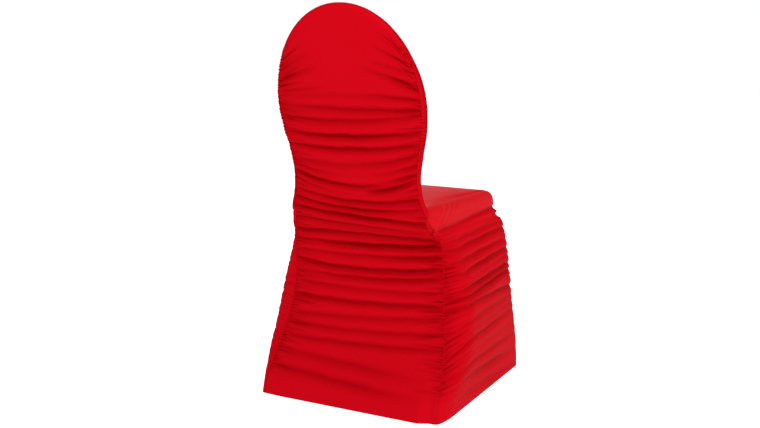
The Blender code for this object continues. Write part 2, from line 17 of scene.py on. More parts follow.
import bmesh
import bpy
import numpy as np
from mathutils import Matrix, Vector

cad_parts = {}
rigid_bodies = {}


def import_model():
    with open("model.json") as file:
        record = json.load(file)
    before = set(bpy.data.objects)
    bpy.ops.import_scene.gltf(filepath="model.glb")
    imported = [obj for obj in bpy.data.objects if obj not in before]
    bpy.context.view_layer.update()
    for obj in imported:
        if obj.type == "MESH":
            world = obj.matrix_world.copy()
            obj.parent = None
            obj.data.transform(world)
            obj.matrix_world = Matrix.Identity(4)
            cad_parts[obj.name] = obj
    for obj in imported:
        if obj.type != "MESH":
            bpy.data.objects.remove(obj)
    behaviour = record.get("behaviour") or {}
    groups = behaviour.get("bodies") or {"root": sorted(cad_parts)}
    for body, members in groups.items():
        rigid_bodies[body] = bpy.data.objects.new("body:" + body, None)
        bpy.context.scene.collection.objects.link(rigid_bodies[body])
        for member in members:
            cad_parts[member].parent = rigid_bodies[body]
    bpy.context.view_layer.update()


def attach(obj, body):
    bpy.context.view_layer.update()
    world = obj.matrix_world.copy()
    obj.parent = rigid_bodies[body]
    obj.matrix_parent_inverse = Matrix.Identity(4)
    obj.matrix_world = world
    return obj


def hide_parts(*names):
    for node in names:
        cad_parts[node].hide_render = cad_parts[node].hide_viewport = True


LOG = logging.getLogger("chair_cover")

HEIGHT = 0.930
ORIGIN = np.array([0.0, -0.019206, -0.928])
MILLIMETRE = 0.001
# How far each of two sewn edges passes or misses the line of their seam, so that neither cuts the other.
SEAM_LAP = 0.00005
CREASE_GAP = 0.0002

Number = Union[float, np.ndarray]
Points = tuple[np.ndarray, np.ndarray, np.ndarray]
Colour = tuple[float, float, float, float]


class Hand(Enum):
    """The sitter's left or right, as the sign of X."""

    LEFT = 1.0
    RIGHT = -1.0


class Hold(Enum):
    """How a sheet of the cover is held."""

    STRETCHED = "stretched"
    GATHERED = "gathered"


def ease(low: float, high: float, at: Number) -> np.ndarray:
    """Return 0 below low, 1 above high and a soft change between them."""
    t = np.clip((at - low) / (high - low), 0.0, 1.0)
    return t * t * (3.0 - 2.0 * t)


def mix(a: Number, b: Number, share: Number) -> Number:
    """Return the value a share of the way from a to b."""
    return a + (b - a) * share


def unit(vectors: np.ndarray) -> np.ndarray:
    """Return the vectors with a length of 1."""
    return vectors / np.linalg.norm(vectors, axis=-1, keepdims=True)


def wander(at: np.ndarray, seed: int, wave: float) -> np.ndarray:
    """Return a slow uneven wave between about -1 and 1.

    Args:
        at: Places along the line that the wave follows, in metres.
        seed: Picks one of many waves.
        wave: The longest wave's length, in metres.

    Returns:
        The wave's height at each place.
    """
    rng = np.random.RandomState(seed)
    phases = rng.uniform(0.0, 2 * math.pi, 3)
    lengths = wave / np.array([1.0, 1.73, 2.9])
    weights = (0.55, 0.3, 0.15)
    return sum(w * np.sin(2 * math.pi * at / length + p) for w, length, p in zip(weights, lengths, phases))


@dataclass(frozen=True)
class Profile:
    """A smooth curve through a short table of heights and values."""

    rows: tuple[tuple[float, ...], ...]

    def at(self, height: Number, column: int = 1) -> np.ndarray:
        """Read the curve.

        Args:
            height: Heights above the floor.
            column: Which of the table's values to read.

        Returns:
            The value at each height.
        """
        table = np.array(self.rows)
        known, values = table[:, 0], table[:, column]
        step = np.diff(known)
        rise = np.diff(values) / step
        slope = np.empty_like(values)
        slope[1:-1] = (rise[:-1] * step[1:] + rise[1:] * step[:-1]) / (step[:-1] + step[1:])
        slope[0], slope[-1] = rise[0], rise[-1]
        i = np.clip(np.searchsorted(known, height) - 1, 0, len(step) - 1)
        t = np.clip((height - known[i]) / step[i], 0.0, 1.0)
        near = (2 * t**3 - 3 * t**2 + 1) * values[i] + (t**3 - 2 * t**2 + t) * slope[i] * step[i]
        far = (3 * t**2 - 2 * t**3) * values[i + 1] + (t**3 - t**2) * slope[i + 1] * step[i]
        return near + far


@dataclass(frozen=True)
class BackForm:
    """The covered backrest and the rear of the skirt: the seams' line and the rounded edge."""

    seam: Profile = Profile(
        (
            (0.000, 0.2290, 0.003), (0.042, 0.2280, -0.014), (0.102, 0.2230, -0.052),
            (0.170, 0.2130, -0.084), (0.251, 0.2020, -0.105), (0.342, 0.1990, -0.106),
            (0.388, 0.1980, -0.100), (0.430, 0.1850, -0.072), (0.461, 0.1760, -0.060),
            (0.497, 0.1650, -0.053), (0.536, 0.1603, -0.049), (0.593, 0.1668, -0.043),
            (0.651, 0.1793, -0.031), (0.700, 0.1840, -0.019), (0.763, 0.1840, -0.006),
            (0.835, 0.1840, 0.011), (0.880, 0.1840, 0.019), (0.930, 0.1840, 0.027),
        )
    )
    thickness: Profile = Profile(
        (
            (0.40, 0.020), (0.55, 0.018), (0.65, 0.027), (0.72, 0.030), (0.76, 0.028), (0.80, 0.024),
            (0.85, 0.024), (0.93, 0.018),
        )
    )
    crown_from: float = 0.700
    edge_out: float = 0.014
    seam_angle_side: float = math.radians(60)
    seam_angle_crown: float = math.radians(5)
    crown_upwards: float = 0.94
    seam_inboard_flat: float = 0.012
    flat_below: float = 0.40
    round_above: float = 0.47
    heel_right: float = 0.012
    heel_left: float = 0.002
    heel_height: float = 0.095

    def roundness(self, z: Number) -> np.ndarray:
        """Return 1 where the seam lies on the rounded edge and 0 on the skirt's flat."""
        return ease(self.flat_below, self.round_above, z)

    def heel(self, z: Number, hand: Number) -> np.ndarray:
        """Return how far forward a rear corner of the hem is drawn; hand is the sign of its side's X."""
        return np.where(hand < 0.0, self.heel_right, self.heel_left) * ease(self.heel_height, 0.0, z)

    def half_thickness(self, z: Number) -> np.ndarray:
        """Return half the thickness of the covered backrest."""
        return self.thickness.at(z) / 2

    def plane(self, z: Number) -> np.ndarray:
        """Return how far back the flat of the rear lies."""
        behind = self.roundness(z) * self.half_thickness(z) * (1.0 - math.sin(self.seam_angle_side))
        return self.seam.at(z, 2) + behind

    @property
    def shoulder(self) -> float:
        """Half the flat's width where the crown starts."""
        return float(self.seam.at(self.crown_from)) - self.edge_out * math.cos(self.seam_angle_side)

    @property
    def crown_rise(self) -> float:
        """The height of the crown's half ellipse."""
        return HEIGHT - self.edge_out - self.crown_from

    @property
    def corner(self) -> float:
        """The height of the crown's 45 degree points, where the grid has its corners."""
        return self.crown_from + self.crown_rise * math.sqrt(0.5)

    def face_half(self, z: Number) -> np.ndarray:
        """Return half the width of the flat between the rounded edges.

        Args:
            z: Heights above the floor.

        Returns:
            Half the width at each height.
        """
        beyond = mix(self.seam_inboard_flat, self.edge_out * math.cos(self.seam_angle_side), self.roundness(z))
        share = np.clip((z - self.crown_from) / self.crown_rise, 0.0, 1.0)
        return np.where(z < self.crown_from, self.seam.at(z) - beyond, self.shoulder * np.sqrt(1.0 - share**2))

    def edge_outwards(self, x: Number, z: Number) -> tuple[np.ndarray, np.ndarray]:
        """Return the direction, in the plane of the back, in which the edge turns away at x, z.

        Args:
            x: Places across the cover.
            z: Heights above the floor.

        Returns:
            The sideways and the upward part of each direction.
        """
        sideways = np.where(z < self.crown_from, np.where(x < 0.0, -1.0, 1.0), x / self.shoulder**2)
        upwards = np.clip(z - self.crown_from, 0.0, None) / self.crown_rise**2
        length = np.hypot(sideways, upwards)
        return sideways / length, upwards / length

    def face_point(self, heights: Points, across: np.ndarray) -> tuple[np.ndarray, np.ndarray]:
        """Place points on rows of the flat.

        Args:
            heights: Each row's height at the sitter's left, in the middle and at the right.
            across: -1 at the sitter's right seam and 1 at the left.

        Returns:
            x and z of each point.
        """
        left, middle, right = heights
        side = math.sqrt(0.5)
        arch = (np.sqrt(1.0 - (across * side) ** 2) - side) / (1.0 - side)
        share = (1.0 + across) / 2
        z = mix(right, left, share) + (middle - (left + right) / 2) * arch
        return across * mix(self.face_half(right), self.face_half(left), share), z

    def seam_angle(self, upwards: np.ndarray) -> np.ndarray:
        """Return how far round the edge the seam lies: rearmost at the sides, on top at the crown."""
        return mix(self.seam_angle_side, self.seam_angle_crown, ease(0.0, self.crown_upwards, upwards))

    def turn(self, x: Number, z: Number, angle: Number, ring: Number, gap: float) -> Points:
        """Turn points of the flat's outline round the edge.

        Args:
            x: Where each point of the outline lies across the flat.
            z: Its height.
            angle: How far round the edge it goes.
            ring: 0 on the flat and 1 on the seam.
            gap: How far past the seam the last ring goes.

        Returns:
            The new x and z, and the depth below the flat.
        """
        sideways, upwards = self.edge_outwards(x, z)
        soft = self.roundness(z)
        sewn = (ring >= 1.0) * gap
        out = soft * self.edge_out * np.cos(angle) + (1.0 - soft) * self.seam_inboard_flat * ring
        out = out + sewn * np.sin(angle)
        depth = soft * (self.half_thickness(z) * (1.0 - np.sin(angle)) + sewn * np.cos(angle))
        return x + out * sideways, z + out * upwards, depth


@dataclass(frozen=True)
class SkirtForm:
    """The sides and front of the skirt and the cushion above them."""

    back: BackForm = BackForm()
    rear_corner: Profile = Profile(
        (
            (0.000, 0.249, -0.006), (0.050, 0.255, -0.027), (0.102, 0.265, -0.056), (0.158, 0.266, -0.083),
            (0.216, 0.264, -0.104), (0.257, 0.258, -0.111), (0.300, 0.246, -0.112), (0.343, 0.229, -0.112),
            (0.375, 0.214, -0.110), (0.420, 0.198, -0.110), (0.450, 0.196, -0.108), (0.480, 0.192, -0.108),
        )
    )
    front_corner: Profile = Profile(
        (
            (0.000, 0.258, -0.506), (0.042, 0.257, -0.503), (0.213, 0.248, -0.475), (0.300, 0.243, -0.467),
            (0.348, 0.238, -0.460), (0.383, 0.233, -0.455), (0.400, 0.230, -0.452), (0.411, 0.226, -0.446),
            (0.419, 0.218, -0.433), (0.427, 0.218, -0.437), (0.436, 0.213, -0.434), (0.445, 0.208, -0.438),
            (0.460, 0.205, -0.438), (0.480, 0.199, -0.431),
        )
    )
    rear_arm: float = 0.040
    rear_arm_share: float = 0.85
    side_arm: float = 0.065
    cushion_arm: float = 0.022
    cushion_zone: tuple[float, float] = (0.375, 0.42)
    front_radius: float = 0.028
    front_seam_inboard: float = 0.032
    crease_rear: float = 0.420
    crease_front: float = 0.441
    crease_climb: tuple[float, float] = (-0.2, 1.0)
    side_share: float = 0.72
    front_corner_share: float = 0.885
    corner_steps: int = 13
    heel_hand: float = -1.0
    corner_heel: tuple[float, float] = (0.5, 1.7)
    facing_step: float = 0.004

    @property
    def front_corner_along(self) -> float:
        """How far along the cushion's outline its front corner lies."""
        return self.front_corner_share * self.side_share

    def rounded(
        self, before: np.ndarray, corner: np.ndarray, after: np.ndarray, near: Number, far: Number
    ) -> np.ndarray:
        """Return points round a corner, from the length near before it to the length far after it.

        Args:
            before: A point on the side before each corner.
            corner: The corners.
            after: A point on the side after each corner.
            near: How far before the corner the round starts.
            far: How far after the corner it ends.

        Returns:
            The points of each round, one row for each corner.
        """
        start = corner - near * unit(corner - before)
        end = corner + far * unit(after - corner)
        t = np.linspace(0.0, 1.0, self.corner_steps)[None, :, None]
        return (1 - t) ** 2 * start[:, None] + 2 * t * (1 - t) * corner[:, None] + t**2 * end[:, None]

    def section(self, z: np.ndarray, share: np.ndarray) -> tuple[np.ndarray, np.ndarray]:
        """Walk round the skirt at one height, on the sitter's left.

        Args:
            z: The height of each point.
            share: How far it is from the rear seam, at 0, to the front seam, at 1.

        Returns:
            x and y of each point.
        """
        heel = self.back.heel(z, self.heel_hand)
        seam = np.stack([self.back.seam.at(z), self.back.seam.at(z, 2) - heel], axis=-1)
        heel_in, heel_forward = self.corner_heel
        corner_x = self.rear_corner.at(z) - heel_in * heel
        rear = np.stack([corner_x, self.rear_corner.at(z, 2) - heel_forward * heel], axis=-1)
        front = np.stack([self.front_corner.at(z), self.front_corner.at(z, 2)], axis=-1)
        end = front - np.array([self.front_seam_inboard, 0.0])
        near = np.minimum(self.rear_arm, self.rear_arm_share * np.linalg.norm(rear - seam, axis=-1))[:, None]
        far = mix(self.side_arm, self.cushion_arm, ease(*self.cushion_zone, z))[:, None]
        round_rear = self.rounded(seam, rear, front, near, far)
        round_front = self.rounded(rear, front, end, self.front_radius, self.front_radius)
        path = np.concatenate([seam[:, None], round_rear, round_front, end[:, None]], axis=1)
        length = np.linalg.norm(np.diff(path, axis=1), axis=2)
        run = np.concatenate([np.zeros((len(z), 1)), np.cumsum(length, axis=1)], axis=1)
        run /= run[:, -1:]
        first = np.clip((run <= share[:, None]).sum(axis=1) - 1, 0, length.shape[1] - 1)
        each = np.arange(len(z))
        t = (share - run[each, first]) / (run[each, first + 1] - run[each, first])
        point = mix(path[each, first], path[each, first + 1], t[:, None])
        return point[:, 0], point[:, 1]

    def crease(self, share: Number) -> np.ndarray:
        """Return the height of the seam below the cushion, which rises towards the front."""
        return mix(self.crease_rear, self.crease_front, ease(*self.crease_climb, share))

    def outline(self, z: np.ndarray, along: np.ndarray) -> tuple[np.ndarray, np.ndarray]:
        """Return x and y of the cushion's side, from the rear seam at 0 to the middle of the front at 1.

        Args:
            z: Heights above the floor.
            along: How far round each point is.

        Returns:
            x and y of each point, on the sitter's left.
        """
        x, y = self.section(z, np.minimum(along / self.side_share, 1.0))
        front = np.clip((along - self.side_share) / (1.0 - self.side_share), 0.0, 1.0)
        return x * (1.0 - front), y

    def outwards(self, z: np.ndarray, along: np.ndarray) -> tuple[np.ndarray, np.ndarray]:
        """Return the direction, seen from above, in which the cushion's side faces.

        Args:
            z: Heights above the floor.
            along: How far round each point is.

        Returns:
            The x and y parts of each direction.
        """
        x0, y0 = self.outline(z, np.clip(along - self.facing_step, 0.0, 1.0))
        x1, y1 = self.outline(z, np.clip(along + self.facing_step, 0.0, 1.0))
        away = unit(np.stack([-(y1 - y0), x1 - x0], axis=-1))
        return away[:, 0], away[:, 1]


@dataclass(frozen=True)
class Crease:
    """One crease across a panel: heights above the floor and depths in millimetres, at three places each."""

    first: float
    middle: float
    last: float
    depth_first: float
    depth_middle: float
    depth_last: float
    broad: float = 1.0

    def depth(self, along: np.ndarray) -> np.ndarray:
        """Return its depth in metres at a share along from the first place to the last.

        Args:
            along: The share of the way along.

        Returns:
            The depth at each share.
        """
        near = mix(self.depth_first, self.depth_middle, ease(0.0, 0.5, along))
        far = mix(self.depth_middle, self.depth_last, ease(0.5, 1.0, along))
        return np.where(along < 0.5, near, far) * MILLIMETRE


@dataclass(frozen=True)
class Tuck:
    """A crease that crosses only a part of a panel, through three places of it, and fades out.

    Places are millimetres across the panel and above the floor. The first lies at a seam, where the tuck is
    deepest, unless it is loose and fades out at both ends.
    """

    start: tuple[float, float]
    middle: tuple[float, float]
    end: tuple[float, float]
    depth: float
    broad: float = 0.7
    loose: bool = False
    lead_in: float = 0.25
    loose_fade: float = 0.6
    sewn_fade: float = 0.7

    def offset(self, across: np.ndarray, height: np.ndarray) -> np.ndarray:
        """Return how far above the tuck each point is, in metres.

        Args:
            across: How far across the panel each point is.
            height: Its height above the floor.

        Returns:
            The distance, less than zero below the tuck.
        """
        places = np.array([self.start, self.middle, self.end]) * MILLIMETRE
        curve = np.polyfit(places[:, 0], places[:, 1], 2)
        slope = (places[2, 1] - places[0, 1]) / (places[2, 0] - places[0, 0])
        return (height - np.polyval(curve, across)) * math.cos(math.atan(slope))

    def strength(self, across: np.ndarray) -> np.ndarray:
        """Return the tuck's depth in metres along its run.

        Args:
            across: How far across the panel each point is.

        Returns:
            The depth at each point.
        """
        begin, finish = self.start[0] * MILLIMETRE, self.end[0] * MILLIMETRE
        run = (across - begin) / (finish - begin)
        inside = np.clip(run, 0.0, 1.0)
        if self.loose:
            fade = np.sin(math.pi * inside) ** self.loose_fade
        else:
            fade = ease(-self.lead_in, 0.0, run) * (1.0 - inside) ** self.sewn_fade
        return self.depth * MILLIMETRE * fade


@dataclass(frozen=True)
class Folds:
    """The creases of a panel and the full folds between them.

    Below a crease the cloth comes out again over the length rise, and above it the fold hangs in over the
    shorter length drop, so that a fold is fullest near its lower edge.
    """

    creases: tuple[Crease, ...]
    tucks: tuple[Tuck, ...] = ()
    rise: float = 0.0160
    drop: float = 0.0100
    curl: float = 1.45
    gain: float = 2.3

    def lines(self, row: np.ndarray) -> Points:
        """Return the heights of each row at the table's three places.

        Args:
            row: Row numbers, with their shares of the way to the next crease.

        Returns:
            The heights at the first, middle and last place.
        """
        numbers = np.arange(len(self.creases))
        columns = ("first", "middle", "last")
        return tuple(np.interp(row, numbers, [getattr(c, name) for c in self.creases]) for name in columns)

    def hollow(self, above: np.ndarray, broad: float) -> np.ndarray:
        """Return how deep a crease is at a height above it, from 1 in the crease to 0 on the full fold."""
        reach = np.where(above > 0.0, self.drop, -self.rise) * broad
        return np.clip(1.0 - above / reach, 0.0, 1.0) ** self.curl

    def relief(
        self, line: Callable[[int], np.ndarray], across: np.ndarray, height: np.ndarray, along: np.ndarray
    ) -> np.ndarray:
        """Return the sheet's height over its smooth form.

        Args:
            line: Gives a crease's height above the floor at every point.
            across: How far across the panel each point is, in metres.
            height: Its height above the floor.
            along: Its share of the way from the creases' first place to their last.

        Returns:
            The relief, in metres.
        """
        # Folds that meet blend as the cube root of the sum of their cubes, so that the deeper one leads.
        total = np.zeros_like(height)
        for number, crease in enumerate(self.creases):
            total += (crease.depth(along) * self.hollow(height - line(number), crease.broad)) ** 3
        for tuck in self.tucks:
            total += (tuck.strength(across) * self.hollow(tuck.offset(across, height), tuck.broad)) ** 3
        return -self.gain * total ** (1 / 3)


@dataclass(frozen=True)
class Gathers:
    """The fine puckers that a gathered seam throws into the cloth, each with its own length and depth."""

    seed: int
    pitch: float = 0.0058
    shortest: float = 0.018
    longest: float = 0.080
    depth: float = 0.0042
    width: float = 0.0018
    pitch_spread: tuple[float, float] = (0.7, 1.35)
    depth_spread: tuple[float, float] = (0.45, 1.25)
    width_spread: tuple[float, float] = (0.8, 1.3)
    lean_spread: tuple[float, float] = (-0.05, 0.05)
    steep_side: float = 1.35
    easy_side: float = 0.8
    fade: float = 0.8
    widths_reached: float = 5.0
    shortness: float = 2.0

    def relief(self, run: np.ndarray, inboard: np.ndarray, low: float, high: float) -> np.ndarray:
        """Sum the puckers of one seam.

        Args:
            run: How far along the seam each point's row starts, in metres.
            inboard: How far the point is from the seam, in metres.
            low: Where along the seam the gathers start.
            high: Where they end.

        Returns:
            The sheet's height over the folds, in metres.
        """
        rng = np.random.RandomState(self.seed)
        total = np.zeros_like(run)
        near = inboard < self.longest
        at, away = run[near], inboard[near]
        order = np.argsort(at)
        sorted_at, sorted_away = at[order], away[order]
        summed = np.zeros_like(sorted_at)
        place = low
        while place < high:
            length = self.shortest + (self.longest - self.shortest) * rng.uniform() ** self.shortness
            depth = self.depth * rng.uniform(*self.depth_spread)
            width = self.width * rng.uniform(*self.width_spread)
            lean = rng.uniform(*self.lean_spread)
            reach = self.widths_reached * width + abs(lean) * self.longest
            a, b = np.searchsorted(sorted_at, [place - reach, place + reach])
            d = sorted_away[a:b]
            spread = width * (1.0 + d / self.longest)
            off = (sorted_at[a:b] - place - lean * d) / spread
            off = np.where(off > 0.0, self.steep_side * off, self.easy_side * off)
            taper = np.clip(1.0 - d / length, 0.0, 1.0) ** self.fade
            summed[a:b] -= depth * taper * np.exp(-(off**2))
            place += self.pitch * rng.uniform(*self.pitch_spread)
        back = np.empty_like(summed)
        back[order] = summed
        total[near] = back
        return total


def even(count: int, low: float, high: float, crowding: float = 0.0) -> list[float]:
    """Return count + 1 stations from low to high, closer together at both ends as crowding rises to 1.

    Args:
        count: How many steps there are.
        low: The first station.
        high: The last station.
        crowding: 0 for even steps and 1 for the closest ends.

    Returns:
        The stations.
    """
    t = np.linspace(0.0, 1.0, count + 1)
    t = mix(t, (1.0 - np.cos(math.pi * t)) / 2, crowding)
    return list(mix(low, high, t))


def fold_rows(creases: Sequence[Crease], spacing: float) -> list[float]:
    """Return row numbers so close that no step down the cloth is longer than spacing.

    Args:
        creases: The panel's creases, from the top.
        spacing: The longest step, in metres.

    Returns:
        The row numbers: a crease has its own number, and the rows between have shares.
    """
    rows: list[float] = []
    for number, (upper, lower) in enumerate(zip(creases, creases[1:])):
        drop = max(upper.first - lower.first, upper.middle - lower.middle, upper.last - lower.last)
        steps = max(4, math.ceil(drop / spacing))
        rows += [number + step / steps for step in range(steps)]
    return rows + [float(len(creases) - 1)]


@dataclass
class Stations:
    """Where each point of a panel lies: its row, how far across, its ring round the edge, and its smooth place."""

    row: np.ndarray
    across: np.ndarray
    ring: np.ndarray
    place: np.ndarray = field(default_factory=lambda: np.zeros((0, 3)))


@dataclass
class Panel:
    """One sewn panel of the cover: a grid of rows along its folds, with rings extruded round its edges."""

    name: str
    node: str
    facing: tuple[float, float, float]
    rings: int = 0
    row_count: int = 0
    column_count: int = 0
    crowding: float = 0.0
    flat: tuple[float, float] = (0.5, 0.5)
    flat_area: float | None = None
    hold: Hold = Hold.GATHERED
    seam_allowance: float = 0.007
    hem_turn: float = 0.0016
    hem_height: float = 0.012
    hem_roll: float = 0.0014
    hem_zone: float = 0.004
    edge_turn: float = 0.0012
    # The crease depth at which the painted crease shade is full.
    deepest: float = 0.007

    def rows(self) -> list[float]:
        """Return the row numbers of the grid."""
        return even(self.row_count, 0.0, 1.0)

    def columns(self) -> list[float]:
        """Return how far across each column of the grid lies, closer together towards the seams."""
        return even(self.column_count, -1.0, 1.0, self.crowding)

    def form(self, at: Stations) -> np.ndarray:
        """Return the smooth place of every point."""
        raise NotImplementedError

    def relief(self, at: Stations) -> np.ndarray:
        """Return every point's height over the smooth form."""
        raise NotImplementedError

    def wraps(self, edge: bmesh.types.BMEdge, layers: Sequence[Any]) -> bool:
        """Tell whether an edge of the grid's outline goes on round the form."""
        ends = [(vert[layers[0]], abs(vert[layers[1]])) for vert in edge.verts]
        return all(row <= 0.0 for row, _ in ends) or all(across >= 1.0 for _, across in ends)

    def grid(self, bm: bmesh.types.BMesh) -> list[Any]:
        """Make the grid and the rings round it.

        Args:
            bm: The empty mesh to fill.

        Returns:
            The layers that hold each point's row, place across and ring.
        """
        rows, columns = self.rows(), self.columns()
        layers = [bm.verts.layers.float.new(name) for name in ("row", "across", "ring", "hollow")]
        bmesh.ops.create_grid(bm, x_segments=len(columns) - 1, y_segments=len(rows) - 1, size=1.0)
        row_layer, across_layer, ring_layer, _ = layers
        for vert in bm.verts:
            vert[row_layer] = rows[round((1.0 - vert.co.y) / 2 * (len(rows) - 1))]
            vert[across_layer] = columns[round((1.0 + vert.co.x) / 2 * (len(columns) - 1))]
        outline: list[bmesh.types.BMEdge] = []
        if self.rings:
            outline = [edge for edge in bm.edges if edge.is_boundary and self.wraps(edge, layers)]
        for ring in range(self.rings):
            outline = self.grow(bm, outline)
            for edge in outline:
                for vert in edge.verts:
                    vert[ring_layer] = (ring + 1) / self.rings
        return layers

    def grow(self, bm: bmesh.types.BMesh, outline: list[bmesh.types.BMEdge]) -> list[bmesh.types.BMEdge]:
        """Extrude an outline once and return the new outline.

        Args:
            bm: The panel's mesh.
            outline: The edges to extrude.

        Returns:
            The edges of the new outline.
        """
        grown = bmesh.ops.extrude_edge_only(bm, edges=outline)["geom"]
        fresh = {item for item in grown if isinstance(item, bmesh.types.BMVert)}
        return [item for item in grown if isinstance(item, bmesh.types.BMEdge) and set(item.verts) <= fresh]

    def shape(self, bm: bmesh.types.BMesh, layers: list[Any]) -> None:
        """Move every point to its place on the form, then in or out along the form's normal.

        Args:
            bm: The panel's mesh.
            layers: The layers that hold each point's row, place across, ring and hollow.
        """
        verts = list(bm.verts)
        row, across, ring = (np.array([vert[layer] for vert in verts]) for layer in layers[:3])
        at = Stations(row, across, ring)
        at.place = self.form(at)
        for vert, point in zip(verts, at.place + ORIGIN):
            vert.co = point
        bm.normal_update()
        if sum(face.normal.dot(Vector(self.facing)) for face in bm.faces) < 0.0:
            bmesh.ops.reverse_faces(bm, faces=bm.faces[:])
            bm.normal_update()
        for vert, rise in zip(verts, self.relief(at)):
            vert.co = vert.co + vert.normal * float(rise)
            vert.co.z = max(vert.co.z, float(ORIGIN[2]))
            # Keep the crease depth in the hollow layer; the material turns it into painted crease shade.
            vert[layers[3]] = min(1.0, max(0.0, -float(rise) / self.deepest))
        bm.normal_update()

    def turn_in(self, bm: bmesh.types.BMesh) -> None:
        """Turn the sewn edges in to the seam allowance and the hem up inside the cloth.

        Args:
            bm: The panel's mesh.
        """
        floor = float(ORIGIN[2])
        outline = [edge for edge in bm.edges if edge.is_boundary]
        for edge in outline:
            edge.smooth = False
        hem = {edge for edge in outline if all(vert.co.z < floor + self.hem_zone for vert in edge.verts)}
        sewn = [edge for edge in outline if edge not in hem]
        folded = (self.hem_turn * 0.7, 0.0001)
        steps = (folded, (self.hem_turn, self.hem_roll), (self.hem_turn, self.hem_height))
        self.inward_rings(bm, list(hem), steps)
        self.inward_rings(bm, sewn, ((self.edge_turn, 0.0), (self.seam_allowance, 0.0)))

    def inward_rings(
        self, bm: bmesh.types.BMesh, outline: list[bmesh.types.BMEdge], steps: Sequence[tuple[float, float]]
    ) -> None:
        """Extrude an outline inwards.

        Args:
            bm: The panel's mesh.
            outline: The edges to extrude.
            steps: For each ring, how far it lies below the sheet and how far up the sheet from the outline.
        """
        if not outline:
            return
        starts = {}
        for edge in outline:
            for vert in edge.verts:
                upper = max((link.other_vert(vert).co for link in vert.link_edges), key=lambda co: co.z)
                starts[vert] = (vert.co.copy(), vert.normal.copy(), (upper - vert.co).normalized())
        for below, above in steps:
            fresh_outline = self.grow(bm, outline)
            moved = {}
            for edge in fresh_outline:
                for vert in edge.verts:
                    if vert in moved:
                        continue
                    old = next(link.other_vert(vert) for link in vert.link_edges if link.other_vert(vert) in starts)
                    co, normal, upwards = starts[old]
                    vert.co = co - normal * below + upwards * above
                    vert.co.z = max(vert.co.z, float(ORIGIN[2]))
                    moved[vert] = (co, normal, upwards)
            starts = moved
            outline = fresh_outline

    def build(self, finish: "Knit") -> bpy.types.Object:
        """Model the panel and dress it.

        Args:
            finish: The cloth it is cut from.

        Returns:
            The finished piece.
        """
        bm = bmesh.new()
        layers = self.grid(bm)
        self.shape(bm, layers)
        self.turn_in(bm)
        bm.normal_update()
        mesh = bpy.data.meshes.new(self.name)
        bm.to_mesh(mesh)
        bm.free()
        mesh.shade_smooth()
        piece = bpy.data.objects.new(self.name, mesh)
        bpy.context.scene.collection.objects.link(piece)
        mesh.materials.append(finish.material())
        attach(piece, "root")
        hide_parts(self.node)
        LOG.info("%s: %d faces", self.name, len(mesh.polygons))
        return piece


@dataclass
class RuchedPanel(Panel):
    """A panel ruched between its seams, with its rows along its creases."""

    folds: Folds = Folds(())
    row_spacing: float = 0.0016
    valley: float = 0.0020
    valley_width: float = 0.005
    kept_at_seam: float = 0.4
    main_kept: float = 0.35
    unrest: float = 0.0010
    unrest_wave: float = 0.11
    first_seed: int = 40

    def rows(self) -> list[float]:
        """Return the rows, spaced for the finest puckers."""
        return fold_rows(self.folds.creases, self.row_spacing)

    def uneven(self, number: int, run: np.ndarray) -> np.ndarray:
        """Return how far a crease strays from its line, in metres, at places along it."""
        return self.unrest * wander(run, self.first_seed + number, self.unrest_wave)

    def sewn(self, raised: np.ndarray, inboard: np.ndarray) -> np.ndarray:
        """Flatten the folds towards a seam and sink the seam in its valley.

        Args:
            raised: The height of the folds and puckers, in metres.
            inboard: How far each point is from the nearest seam, in metres.

        Returns:
            The sheet's height over its smooth form.
        """
        free = ease(0.0, self.valley_width, inboard)
        return raised * mix(self.kept_at_seam, 1.0, free) - self.valley * (1.0 - free)


